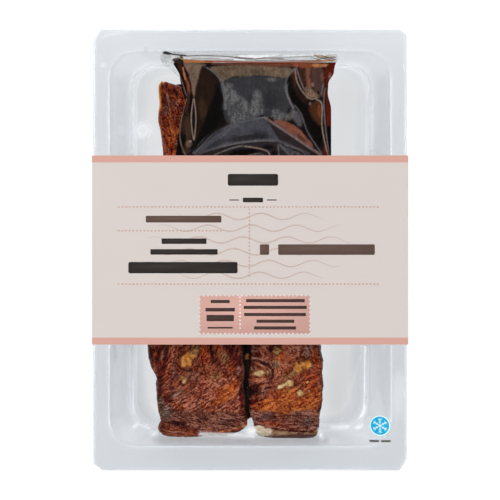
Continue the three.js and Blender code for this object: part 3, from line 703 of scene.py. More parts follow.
# The remeshed copy is fine only where the sleeve and the sachet leave the fish in sight
def smoothCopy(nodeName, plan):
    bm = bmesh.new()
    bm.from_mesh(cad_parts[nodeName].data)
    bmesh.ops.remove_doubles(bm, verts=bm.verts, dist=0.001 * mm)
    rough = bpy.data.objects.new("rough", meshOf(bm, "rough"))
    bpy.context.scene.collection.objects.link(rough)
    remesh = rough.modifiers.new("remesh", "REMESH")
    remesh.mode = "VOXEL"
    remesh.voxel_size = plan["voxel"] * mm
    soften = rough.modifiers.new("soften", "SMOOTH")
    soften.factor = 0.5
    soften.iterations = plan["smoothing"]
    evaluated = rough.evaluated_get(bpy.context.evaluated_depsgraph_get())
    bm = bmesh.new()
    bm.from_mesh(evaluated.to_mesh())
    evaluated.to_mesh_clear()
    bpy.data.objects.remove(rough)

    def seen(v):
        x, y = v.co.x / mm, v.co.y / mm
        high = v.co.z > plan["seenAbove"] * mm
        return high and any(x0 < x < x1 and y0 < y < y1 for x0, x1, y0, y1 in plan["seen"])

    near = {v for v in bm.verts if seen(v)}
    edges = [e for e in bm.edges if e.verts[0] in near and e.verts[1] in near]
    bmesh.ops.subdivide_edges(bm, edges=edges, cuts=1, use_grid_fill=True)
    bmesh.ops.smooth_vert(bm, verts=bm.verts, factor=0.5, use_axis_x=True, use_axis_y=True,
                          use_axis_z=True)
    return meshOf(bm, nodeName + "_flesh")


# Noise drawn out along the muscle; between two turns the two patterns are blended
def runOf(turns, x, y, z, length, width, seed):
    place = min(max(y, turns[0][0]), turns[-1][0])
    for (a, low), (b, high) in zip(turns, turns[1:]):
        if place <= b:
            break
    share = ease(place, a + holdShare * (b - a), b - holdShare * (b - a))
    total = 0.0
    for turn, weight in ((low, 1 - share), (high, share)):
        if weight > 0:
            t = radians(turn)
            lengthwise = x * cos(t) + y * sin(t)
            across = -x * sin(t) + y * cos(t) + 0.5 * z
            total += weight * noise.noise((lengthwise / length, across / width, seed + turn))
    return total


def partingAt(lines, x, y, warp):
    plan = partingPlan
    most = 0.0
    for cx, cy, rx, ry, turn, spacing, strength in lines:
        reach = hypot((x - cx) / rx, (y - cy) / ry)
        if reach < plan["fade"][1]:
            t = radians(turn)
            across = (-x * sin(t) + y * cos(t)) / spacing + plan["bend"] * warp
            lengthwise = x * cos(t) + y * sin(t)
            away = abs(across - round(across)) * spacing
            shown = ease(noise.noise((lengthwise / plan["length"], round(across) * 3.7, 2)), *plan["shown"])
            near = 1 - ease(away, 0.0, plan["width"])
            within = 1 - ease(reach, *plan["fade"])
            most = max(most, strength * shown * near * within)
    return most


# At one place: how high the flesh stands, how deep a groove is, its tone, and a fray for edges
def fleshAt(side, plan, x, y, z, leather):
    seed = side["seed"] * 7.3
    bendX = noise.noise((x / plan["warpSize"], y / plan["warpSize"], seed))
    bendY = noise.noise((x / plan["warpSize"], y / plan["warpSize"], seed + 9))
    ax = x + plan["warp"] * bendX
    ay = y + plan["warp"] * bendY
    fibre = runOf(side["turns"], ax, ay, z, plan["fibreLength"], plan["fibreWidth"], seed + 20)
    crack = runOf(side["turns"], ax, ay, z, plan["crackLength"], plan["crackWidth"], seed + 31)
    lump = noise.noise((x / plan["lumpSize"], y / plan["lumpSize"], z / plan["lumpSize"] + seed))
    size = plan["crinkleSize"]
    crinkle = noise.noise((x / size, y / size, z / size + seed))
    size = plan["foldSize"]
    fold = 1 - 4 * abs(noise.noise((ax / size, ay / size, z / size + seed + 40)))
    parting = partingAt(side["lines"], x, y, 2 * bendX + crinkle)
    groove = max(0.5 * (1 - ease(abs(crack), 0.0, plan["crackEdge"])), parting)
    smooth = 1 - plan["leatherSmooth"] * leather
    groove *= smooth
    fine = runOf(side["turns"], ax, ay, z, plan["threadLength"], plan["threadWidth"], seed + 50)
    thread = smooth * (plan["fibreShare"] * fibre + plan["threadShare"] * fine)
    rough = (plan["crinkleShare"] + plan["leatherCrinkle"] * leather) * crinkle
    rough = rough + plan["leatherFold"] * leather * fold
    dip = plan["crackDepth"] * groove * groove
    height = (plan["lumpHeight"] * lump + plan["fibreHeight"] * thread - dip
              + plan["crinkleHeight"] * (crinkle + 0.5 * leather * fold))
    tone = plan["toneMiddle"] + plan["toneLump"] * lump + plan["toneThread"] * thread + rough
    return height, groove, tone, bendX + plan["fray"] * fibre + plan["fray"] * crinkle


def strokesOver(strokes, x, y):
    most = np.zeros(x.shape)
    for line in strokes:
        most = np.maximum(most, stroke(line, x, y, np.zeros(x.shape)))
    return most


# A tone of 1 brings the paint out at its brightest, which is this much above its middle
toneLift = (1.97, 2.8, 3.0)


def dressFillet(nodeName, plan, side, material):
    mesh = smoothCopy(nodeName, plan)
    places = readVectors(mesh.vertices, "co") / mm
    normals = readVectors(mesh.vertex_normals, "vector")
    facing = normals[:, 2]
    x, y, z = places.T
    leather = np.zeros(x.shape)
    for place in side["leather"]:
        leather = np.maximum(leather, spot(place, x, y, np.zeros(x.shape)))
    facts = np.array([fleshAt(side, plan, *place, share) for place, share in zip(places, leather)])
    height, groove, tone, fray = facts.T
    onTop = easeAll(facing, 0.0, plan["topFacing"])
    cracks = strokesOver(side["cracks"], x, y) * onTop
    ridges = strokesOver(side["ridges"], x, y) * onTop
    groove = np.maximum(groove, cracks)
    height = height + plan["ridgeHeight"] * ridges - 0.5 * plan["crackDepth"] * cracks + plan["grow"]
    tint = paintMesh(mesh, fishPalette, "flesh", side["layers"], fray, toneLift)
    # painted shade: upright sides are drawn towards maroon
    upright = 1 - easeAll(facing, 0.0, plan["sideFacing"])
    sideShade = plan["sideShadeShare"] * upright[:, None] * (1 - tint[:, 3:])
    shades = shadesOf(fishPalette, toneLift)
    for name in ("maroon", "under"):
        shades[name][3] = plan["sideEven"]
    tint += sideShade * (shades["maroon"] - tint)
    tint += (1 - easeAll(facing, *plan["underFacing"]))[:, None] * (shades["under"] - tint)
    base = z.min()
    lift = np.clip((z - base - plan["footFlat"]) / plan["footRise"], 0, 1)
    moved = places + normals * (height * lift)[:, None]
    moved[:, 2] = np.maximum(moved[:, 2], base)
    across = np.clip(x - x[y > plan["topEnd"][0]].min(), 0, plan["topWidth"])
    moved[:, 1] -= side["topSlope"] * across * easeAll(y, *plan["topEnd"])
    mesh.vertices.foreach_set("co", (moved * mm).ravel())
    setAttribute(mesh, "groove", groove)
    setAttribute(mesh, "tone", tone)
    setPaint(mesh, tint)
    mesh.update()
    return addPiece(nodeName + "_flesh", mesh, material, [nodeName])


fleshLook = {
    "fineSize": 0.7, "fineDepth": 0.4, "fineSpread": 0.5, "speckSize": 0.5, "speckDepth": 0.16,
    "wetSize": 5, "roughness": (0.14, 0.26), "gloss": 0.045, "evenness": 0.85,
    # the groove colour is painted shade in the cracks
    "grooveShadeColour": (0.02, 0.004, 0.003), "grooveShadeStrength": 0.85,
    # what the paint is multiplied by, from the darkest tone to the lightest
    "tones": [(0.02, (0.13, 0.02, 0.012)), (0.25, (0.345, 0.163, 0.122)), (0.5, (0.508, 0.357, 0.333)),
              (0.75, (0.716, 0.586, 0.56)), (0.98, (1, 1, 1))],
}


def glazedFlesh(look):
    material, tree = newMaterial("glazedFlesh")
    place = placeOf(tree)
    fine = grain(tree, place, look["fineSize"], 3, 0.6, 0.5)
    speck = grain(tree, place, look["speckSize"], 3, 0.6)
    broad = grain(tree, place, look["wetSize"], 3, 0.6)
    spread = look["fineSpread"]
    vary = sums(tree, "ADD", attributeOf(tree, "tone"), span(tree, fine, 0.34, 0.66, -spread, spread))
    vary = sums(tree, "SUBTRACT", vary, 0.5)
    even = sums(tree, "MULTIPLY_ADD", attributeOf(tree, "paint", "Alpha"), -look["evenness"], 1.0)
    glow = gradient(tree, sums(tree, "MULTIPLY_ADD", vary, even, 0.5), look["tones"])
    shade = blendColour(tree, 1.0, attributeOf(tree, "paint", "Color"), glow, "MULTIPLY")
    # painted shade: grooves and cracks are darkened
    strength = sums(tree, "MULTIPLY", even, look["grooveShadeStrength"])
    groove = sums(tree, "MULTIPLY", attributeOf(tree, "groove"), strength)
    shade = blendColour(tree, groove, shade, colour(*look["grooveShadeColour"]))
    normal = bumps(tree, fine, look["fineDepth"], 0.7)
    normal = bumps(tree, speck, look["speckDepth"], 0.5, normal)
    skin = put(tree, "ShaderNodeBsdfPrincipled", {
        "Base Color": shade, "Roughness": span(tree, broad, 0.3, 0.75, *look["roughness"]),
        "Normal": normal, "Specular IOR Level": look["gloss"]})
    finish(tree, skin.outputs[0])
    return material


fleshMaterial = glazedFlesh(fleshLook)
fillets = [dressFillet(name, filletPlan, side, fleshMaterial) for name, side in filletSides.items()]
print("fillets dressed")


def surfaceTree(objects):
    verts = []
    faces = []
    for obj in objects:
        start = len(verts)
        verts.extend(v.co.copy() for v in obj.data.vertices)
        faces.extend([start + i for i in p.vertices] for p in obj.data.polygons)
    return BVHTree.FromPolygons(verts, faces)


fleshTree = surfaceTree(fillets)
rayStart = 0.1  # in metres, over everything


def topOf(tree, x, y, missing=0.0):
    hit = tree.ray_cast(Vector((x * mm, y * mm, rayStart)), Vector((0, 0, -1)))
    return hit[0].z / mm if hit[0] else missing


# Chips of garlic and ginger that lie half sunk in the glaze

# A chip narrower than fullWidth is thinner too. Reach is how far out it feels for the flesh that
# it lies on, as a share of its size, and noGround is its height where no flesh is under it.
chipPlan = {
    "thickness": 1.15, "sunk": 0.25, "lumpiness": 0.5, "lumpSize": 1.6, "fullWidth": 1.5,
    "reach": 0.9, "noGround": 12, "soft": 0.1,
}
# Each group has its colours from dark to light, and its chips as (x, y, half length, half
# width, turn). A chip is painted lighter towards its top, as painted light, and darker at its skirt where
# it sinks into the glaze, partly as painted shade.
chipGroups = {
    "garlic_amber": {
        "material": "amberChip", "seed": 1,
        "stops": [(0.3, (0.16, 0.035, 0.01)), (0.5, (0.36, 0.11, 0.02)), (0.68, (0.54, 0.2, 0.03)),
                  (0.9, (0.68, 0.36, 0.09))],
        "chips": [(-30.4, -52.9, 4, 3.5, 70), (-27.3, -50, 2.8, 2.2, 55), (27.4, -55, 2.9, 2.2, 20),
                  (22.7, -56.4, 2.5, 3, 20), (-1, -50.9, 1.7, 1.6, 30), (25.2, -54.6, 1.6, 1.6, 0)],
    },
    "garlic_olive": {
        "material": "oliveChip", "seed": 3,
        "stops": [(0.3, (0.1, 0.03, 0.01)), (0.55, (0.22, 0.09, 0.03)), (0.8, (0.38, 0.2, 0.055)),
                  (0.95, (0.52, 0.33, 0.12))],
        "chips": [(-25.9, -47.8, 2.2, 1.7, 60), (20.4, -59, 1.8, 1.4, 40), (12.9, -48, 2.5, 2.4, 40),
                  (8.2, -58.7, 1.4, 1.5, 0), (-32.4, -61.4, 1.6, 1.2, 30)],
    },
    "garlic_cream": {
        "material": "creamChip", "seed": 2,
        "stops": [(0.3, (0.26, 0.09, 0.03)), (0.5, (0.44, 0.23, 0.08)), (0.7, (0.6, 0.41, 0.18)),
                  (0.9, (0.74, 0.57, 0.33))],
        "chips": [(-31.4, -62.5, 1.5, 0.9, 65), (4.5, -58.9, 3.2, 1.4, 6), (18.6, -63.8, 2.5, 1.9, 15),
                  (15.4, -65, 3.2, 1.1, 28), (24, -68.6, 2.2, 1.5, -10), (27.3, -63.2, 0.8, 0.6, 30),
                  (28.1, -67.2, 0.5, 0.4, 0), (0.2, -71.4, 0.45, 0.4, 0), (2.1, -71, 0.45, 0.4, 0)],
    },
}


def buildChips(plan, group):
    bm = bmesh.new()
    # rise is how high on the chip a point lies, which the material turns into painted light
    topLightLayer = bm.verts.layers.float.new("rise")
    for index, (x, y, halfLength, halfWidth, turn) in enumerate(group["chips"]):
        chip = bmesh.ops.create_icosphere(bm, subdivisions=4, radius=1)["verts"]
        for v in chip:
            v[topLightLayer] = v.co.z
            p = v.co * plan["lumpSize"] + Vector((index * 5.1, group["seed"], 0))
            v.co *= 1 + plan["lumpiness"] * noise.noise(p) + 0.1 * noise.noise(p * 3)
        height = plan["thickness"] * min(1.0, halfWidth / plan["fullWidth"])
        size = Matrix.Diagonal((halfLength, halfWidth, height, 1))
        bmesh.ops.transform(bm, matrix=Matrix.Rotation(radians(turn), 4, "Z") @ size, verts=chip)
        reach = plan["reach"]
        middle = topOf(fleshTree, x, y, plan["noGround"])
        for v in chip:
            ground = topOf(fleshTree, x + v.co.x * reach, y + v.co.y * reach, plan["noGround"])
            v.co = Vector((x + v.co.x, y + v.co.y, v.co.z + 0.5 * (ground + middle) - plan["sunk"]))
    toMetres(bm)
    return meshOf(bm, "chips")


def chipMaterial(plan, group):
    material, tree = newMaterial(group["material"])
    place = placeOf(tree)
    cloud = sums(tree, "MULTIPLY_ADD", grain(tree, place, 1.5, 4, 0.65, 0.6), 1.7, -0.68)
    # painted light and shade: higher on the chip is lighter
    rise = span(tree, attributeOf(tree, "rise"), 0.15, 0.9, 0.0, 0.5)
    shade = gradient(tree, sums(tree, "ADD", cloud, rise), group["stops"])
    normal = bumps(tree, grain(tree, place, 0.6, 3), 0.25, 0.7)
    body = put(tree, "ShaderNodeBsdfPrincipled", {
        "Base Color": shade, "Roughness": 0.3, "Normal": normal, "Specular IOR Level": 0.15,
        "Subsurface Weight": plan["soft"], "Subsurface Scale": 1.0 * mm,
        "Coat Weight": 0.06, "Coat Roughness": 0.12})
    finish(tree, body.outputs[0])
    return material


for name, group in chipGroups.items():
    addPiece(name, buildChips(chipPlan, group), chipMaterial(chipPlan, group))
print("garlic laid on")


# Sauce that ran out: a thin pool under and between the fillets, clearer to its edge

poolPlan = {
    "outline": [(-43, -44), (-41.6, -62), (-41, -80), (-42, -86.4), (-40.4, -89.3), (-34, -89.7),
                (-27, -89), (-20, -87), (-8, -86), (-3, -83), (1.4, -80.6), (3.6, -87.6), (8, -90),
                (20, -90.4), (29, -90.2), (31, -88), (31.6, -70), (32, -44), (32, 20), (31, 77),
                (20, 78), (-4, 79), (-38, 78.6), (-40, 60), (-40, 0)],
    "floor": 1.3, "gap": 0.03, "thickness": 0.28, "rings": 3, "ringWidth": 0.5, "middle": (-4, -4),
    # the colour that shows through it, its own colours, and how much it hides at its edge and how
    # much more inside
    "clear": (0.5, 0.1, 0.03), "dark": (0.012, 0.003, 0.002), "light": (0.06, 0.01, 0.005),
    "hides": (0.4, 0.58), "streakSize": 3,
}


def buildPool(plan):
    bm = bmesh.new()
    deepLayer = bm.verts.layers.float.new("deep")
    outline = smoothRow(plan["outline"], 8, closed=True)[:-1]
    made = bmesh.ops.create_circle(bm, cap_ends=True, segments=len(outline), radius=1)["verts"]
    for v, (x, y) in zip(made, outline):
        v.co = (x, y, plan["floor"] + plan["gap"])
    middle = Vector((*plan["middle"], plan["floor"] + plan["thickness"]))
    edges = bm.edges[:]
    for _ in range(plan["rings"]):
        made = bmesh.ops.extrude_edge_only(bm, edges=edges)["geom"]
        fresh = {v for v in made if isinstance(v, bmesh.types.BMVert)}
        edges = [e for e in made if isinstance(e, bmesh.types.BMEdge) and set(e.verts) <= fresh]
        for v in fresh:
            v.co.z = middle.z
            v.co += (middle - v.co).normalized() * plan["ringWidth"]
            v[deepLayer] = 1.0
    bmesh.ops.contextual_create(bm, geom=edges)
    bmesh.ops.recalc_face_normals(bm, faces=bm.faces)
    toMetres(bm)
    return meshOf(bm, "sauce_pool")


def poolMaterial(plan):
    material, tree = newMaterial("runSauce")
    place = placeOf(tree)
    streak = grain(tree, place, plan["streakSize"], 4)
    through = put(tree, "ShaderNodeBsdfTransparent", {"Color": colour(*plan["clear"])})
    body = put(tree, "ShaderNodeBsdfPrincipled", {
        "Base Color": blendColour(tree, streak, colour(*plan["dark"]), colour(*plan["light"])),
        "Roughness": 0.2, "Coat Weight": 0.4, "Normal": bumps(tree, streak, 0.2, 0.5)})
    least, more = plan["hides"]
    thick = sums(tree, "MULTIPLY_ADD", attributeOf(tree, "deep"), more, least)
    pool = put(tree, "ShaderNodeMixShader", {0: thick, 1: through.outputs[0], 2: body.outputs[0]})
    finish(tree, pool.outputs[0])
    return material


# Film: a sheet that is drawn down on the tray and the fillets, and hangs where it is pulled
# over an edge

filmPlan = {
    "pitch": 1.0, "inset": 0.8, "clearance": 0.35, "pull": 0.42, "rounds": 140, "thickness": 0.12,
    "wrinkle": 0.35, "wrinkleSize": 2.4,
    # how far it hangs free where its wrinkles and its haze are full, and how much haze that is
    "hangFull": 1.5, "hangHaze": 0.04, "foodHaze": 0.1, "foodReach": 3, "offFood": 0.15,
    # the slant at the right low corner: a plane that turns about a point and falls from its rim
    "tent": {"x": 53.7, "y": -81.2, "turn": -16, "rim": 12.6, "slope": 1.25},
}
# Painted light on the film: pale marks are painted highlights, a glare spot and bright bands and creases
# along the well's rounds and corners, and dim marks are painted shade, the shadow under the fillets' low
# ends and darker patches
filmMarks = [
    (spot, "pale", -51, 57.4, 3.4, 4, 0, 0.9), (stroke, "pale", 1.3, 0.2, [(58.2, 73), (58, 51)]),
    *each(spot, "pale", (-54.8, -84, 2.2, 1, 40, 0.6), (-49.4, -84.6, 2.4, 1, -30, 0.5),
        (52.4, -84.6, 2.6, 1, 30, 0.5), (43, -85, 5.5, 1.3, 0, 0.4), (71, -69, 3, 12, 0, 0.1)),
    (spot, "dim", 46, -64, 12, 24, 0, 0.4), (spot, "pale", -69.8, 88, 1.4, 1.4, 0, 0.12),
    (stroke, "pale", 0.8, 0.1, [(-70, 101.4), (-66, 103), (-60, 103.4)]),
    (spot, "pale", 0.6, -86.4, 2.6, 2, -10, 0.5),
    (stroke, "pale", 0.7, 0.4, [(-24, -88), (-10, -88.4), (2, -89)]),
    (spot, "pale", -46, -88, 2, 0.9, 10, 0.4), (stroke, "pale", 0.6, 0.4, [(32.6, -85.6), (34.6, -90)]),
    (stroke, "dim", 1.7, 0.8, [(-45, -90.7), (-4, -91.2), (36, -91)]),
    (spot, "dim", -49.6, 95.4, 0.8, 1.4, 0, 0.5),
]
# The haze at bends carries the painted highlights of the pale marks, the glow is painted light from the
# milky body, and the dim tint is what the painted shade lets through
filmLook = {
    "tint": (0.991, 0.994, 0.997), "shadeTint": (0.87, 0.865, 0.87), "haze": 0.001, "hazeAndHighlight": 0.75,
    "hazeColour": (0.9, 0.92, 0.93), "gloss": 0.009, "edgeGloss": 0.2, "roughness": 0.07,
    "rippleSize": 9, "rippleDepth": 0.3, "cloudSize": 9, "crinkle": {"size": 1.1, "depth": 0.5},
    "foodDull": 0.92, "glow": 0.36,
}


# How high the tray's sheet stands at a place
def trayHeight(plan, section, x, y):
    halfX, halfY, corner = plan["floor"]
    mouthX, mouthY, mouthCorner = plan["mouth"]
    run = mouthX - halfX

    def outside(out):
        share = out / run
        hx = halfX + out
        hy = halfY + (mouthY - halfY) * share
        r = corner + (mouthCorner - corner) * share
        qx = abs(x) - (hx - r)
        qy = abs(y - plan["floorShift"] * (1 - share) - plan["mouthShift"] * share) - (hy - r)
        return hypot(max(qx, 0), max(qy, 0)) + min(max(qx, qy), 0) - r

    if outside(section[0][0]) <= 0:
        return plan["floorTop"]
    if outside(section[-1][0]) >= 0:
        return plan["flangeTop"]
    for (lowOut, lowUp, _), (out, up, _) in zip(section, section[1:]):
        d = outside(out)
        if d <= 0:
            before = outside(lowOut)
            t = before / (before - d) if before - d > 0 else 1
            return plan["floorTop"] + lowUp + (up - lowUp) * t
    return plan["flangeTop"]


neighbours = ((0, 1), (0, -1), (1, 0), (-1, 0))


# The film's height at each place, how far it hangs free there, and where it is close to food. It
# starts just over what is under it, and each round draws it down between its neighbours.
def layFilm(plan, tray, xs, ys):
    section = wellSection(tray)
    ground = np.array([[trayHeight(tray, section, x, y) for x in xs] for y in ys])
    food = np.array([[topOf(fleshTree, x, y) for x in xs] for y in ys])
    spread = food.copy()
    for step in neighbours:
        spread = np.maximum(spread, np.roll(food, step, (0, 1)))
    close = food > 0
    for _ in range(plan["foodReach"]):
        for step in neighbours:
            close = close | np.roll(close, step, (0, 1))
    tent = plan["tent"]
    t = radians(tent["turn"])
    reach = (xs[None, :] - tent["x"]) * cos(t) + (ys[:, None] - tent["y"]) * sin(t)
    corner = np.minimum(tray["flangeTop"], tray["flangeTop"] - tent["slope"] * (tent["rim"] - reach))
    under = np.maximum(np.maximum(ground, spread), corner) + plan["clearance"]
    z = under.copy()
    for _ in range(plan["rounds"]):
        mean = z.copy()
        mean[1:-1, 1:-1] = (z[:-2, 1:-1] + z[2:, 1:-1] + z[1:-1, :-2] + z[1:-1, 2:]) / 4 - plan["pull"]
        z = np.maximum(under, mean)
    hang = np.clip((z - under) / plan["hangFull"], 0, 1)
    for j, y in enumerate(ys):
        for i, x in enumerate(xs):
            if hang[j, i] > 0:
                fold = noise.noise((x / plan["wrinkleSize"], y / plan["wrinkleSize"], 4))
                z[j, i] += hang[j, i] * plan["wrinkle"] * fold
    return z, hang, close


def drapeFilm(plan, tray):
    halfX = tray["flangeWidth"] / 2 - plan["inset"]
    halfY = tray["flangeLength"] / 2 - plan["inset"]
    columns = ceil(2 * halfX / plan["pitch"])
    lines = ceil(2 * halfY / plan["pitch"])
    xs = np.linspace(-halfX, halfX, columns + 1)
    ys = np.linspace(-halfY, halfY, lines + 1)
    z, hang, close = layFilm(plan, tray, xs, ys)
    bm = bmesh.new()
    bmesh.ops.create_grid(bm, x_segments=columns, y_segments=lines, size=1)
    hazeHighlightLayer = bm.verts.layers.float.new("bend")
    shadeLayer = bm.verts.layers.float.new("dim")
    foodLayer = bm.verts.layers.float.new("onFood")
    marks = {"pale": np.zeros(z.shape), "dim": np.zeros(z.shape)}
    gridX, gridY = np.meshgrid(xs, ys)
    for cover, name, *layer in filmMarks:
        marks[name] = np.maximum(marks[name], cover(layer, gridX, gridY, 0 * gridX))
    for v in bm.verts:
        i = round((v.co.x + 1) / 2 * columns)
        j = round((v.co.y + 1) / 2 * lines)
        # bend holds the milkiness where the film hangs free and the painted highlights of the pale marks;
        # dim holds the painted shade
        part = plan["foodHaze"] if close[j, i] else 1.0
        v[hazeHighlightLayer] = plan["hangHaze"] * hang[j, i] * part + marks["pale"][j, i]
        v[shadeLayer] = marks["dim"][j, i]
        v[foodLayer] = 1.0 if close[j, i] else plan["offFood"]
        v.co = Vector((xs[i], ys[j], z[j, i]))
    outline = flangeOutline(tray, plan["inset"])
    steps = tray["pointsPerCorner"]
    for first in range(0, len(outline), steps + 1):
        ax, ay = outline[first]
        bx, by = outline[first + steps]
        geometry = bm.verts[:] + bm.edges[:] + bm.faces[:]
        bmesh.ops.bisect_plane(bm, geom=geometry, plane_co=(ax, ay, 0), plane_no=(by - ay, ax - bx, 0),
                               clear_outer=True)
    toMetres(bm)
    return meshOf(bm, "film_sheet")


filmPiece = addPiece("film_sheet", drapeFilm(filmPlan, trayPlan), clearPlastic("clearFilm", filmLook),
                     ["film"])
thicken(filmPiece, "thickness", filmPlan["thickness"], offset=1)
print("film drawn down")


# Sachet of sauce: a pillow of clear film, with the folds that run in from its seals

sachetPlan = {
    "from": -10.5, "to": 94.6, "bodyTo": 90.4, "columns": 290, "visibleLines": 136, "hiddenLines": 26,
    "visibleFrom": 43, "foldRoom": 0.6, "reliefMost": 1.3, "foldShare": 0.6,
    "paintLevel": (0.86, 0.86, 0.86), "frostColour": (0.03, 0.028, 0.03),
    "smearTurn": 0.8, "smearStretch": 0.42,
    "smears": [(0.3, (0.62, 0.6, 0.58)), (0.5, (0.97, 0.97, 0.97)), (0.7, (1.35, 1.38, 1.4))],
    "low": [(-10.5, -39), (-5, -35.5), (10, -33.8), (45, -35.4), (52, -34.6), (62, -33.5), (67, -31.8),
            (70, -30.7), (77, -32.6), (82.4, -33.4), (90, -36.6), (94.6, -41.3)],
    "high": [(-10.5, 43), (-5, 39.8), (10, 38.5), (45, 38.7), (67, 38.7), (75, 37.1), (79, 37.3), (85, 40),
             (90.5, 41), (94.6, 41.4)],
    "thick": 8.4, "sealThick": 0.5, "middle": 23.6, "rim": 29.15,
    # from where to where it leans up, how much thinner it gets there, and how it fills out
    "lean": 66, "leanThin": 0.35, "fillLength": 16, "fillPower": 0.55, "sidePower": 2.6,
    # where the folds begin, and how they fall off and add up
    "foldsFrom": (42.5, 48), "foldPower": 1.1, "foldAdded": 0.25,
    "ripple": 0.3, "rippleSize": 1.9, "rippleReach": 5, "mattFrom": (0.78, 0.94),
}
# Folds are (height, width to the left and to the right of the crest, points along the crest)
sachetFolds = [
    (1.2, 1.0, 2.6, [(-20.2, 86.3), (-15.7, 83.1), (-13.2, 79), (-12.1, 72), (-11.9, 67)]),
    (1.2, 1.4, 2.4, [(21.1, 86.1), (17.3, 80.7), (17.3, 73.9), (20.1, 67.8)]),
    (0.6, 1.6, 0.9, [(21.4, 86.1), (24.1, 76.6), (28.9, 71.9), (34.1, 70), (34.2, 59.9), (37.1, 45.3)]),
    (1.7, 0.8, 7.0, [(-26.5, 45.7), (-17, 55.5), (-5.1, 60.6), (7.1, 63)]),
    (1.5, 3.2, 4.0, [(7.1, 63), (15.3, 57.6), (24.8, 51.1), (33.7, 45.3)]),
    (1.3, 2.6, 0.7, [(-25.8, 45.3), (-10.9, 50.1), (6.1, 52.5), (16, 50.8), (28.2, 45.7)]),
    (0.6, 0.8, 1.4, [(12.2, 62), (22.1, 58.6), (28.9, 51.1), (30.3, 49.1)]),
    (0.5, 0.8, 0.5, [(-33.2, 80.7), (-30.3, 73), (-31.6, 66.7), (-33.7, 53.1), (-31.3, 48.4)]),
    (0.9, 1.4, 0.6, [(-18, 44.4), (-8.5, 48.6), (-2.4, 49.4), (6.1, 48), (9.4, 45.3)]),
]
# The shades as they look: the sauce's own colours behind the film, and painted reflections on the film:
# steel, frost, dusk, haze, grey, pale and rose are painted sheen and highlights, and facet is a painted
# shade; the last value is how frosted the film is there
sachetPalette = {
    "sauce": (24, 18, 18, 0.0), "steel": (55, 55, 59, 0.15), "frost": (98, 97, 98, 1.0),
    "olive": (106, 88, 72, 0.3), "moss": (62, 44, 30, 0.2), "brown": (38, 26, 20, 0.0),
    "mauve": (120, 98, 84, 0.3), "dusk": (71, 71, 78, 0.1), "haze": (94, 90, 94, 0.1),
    "rose": (124, 103, 101, 0.1), "facet": (46, 39, 42, 0.0), "copper": (124, 78, 62, 0.2),
    "grey": (114, 107, 104, 0.6), "wine": (92, 26, 15, 0.1), "umber": (62, 37, 28, 0.1),
    "rust": (134, 70, 46, 0.1), "amber": (74, 42, 26, 0.1), "orange": (178, 116, 76, 0.1),
    "sand": (124, 98, 80, 0.5), "plum": (80, 56, 50, 0.2), "pale": (152, 130, 118, 0.1),
    "black": (16, 13, 13, 0.0),
}
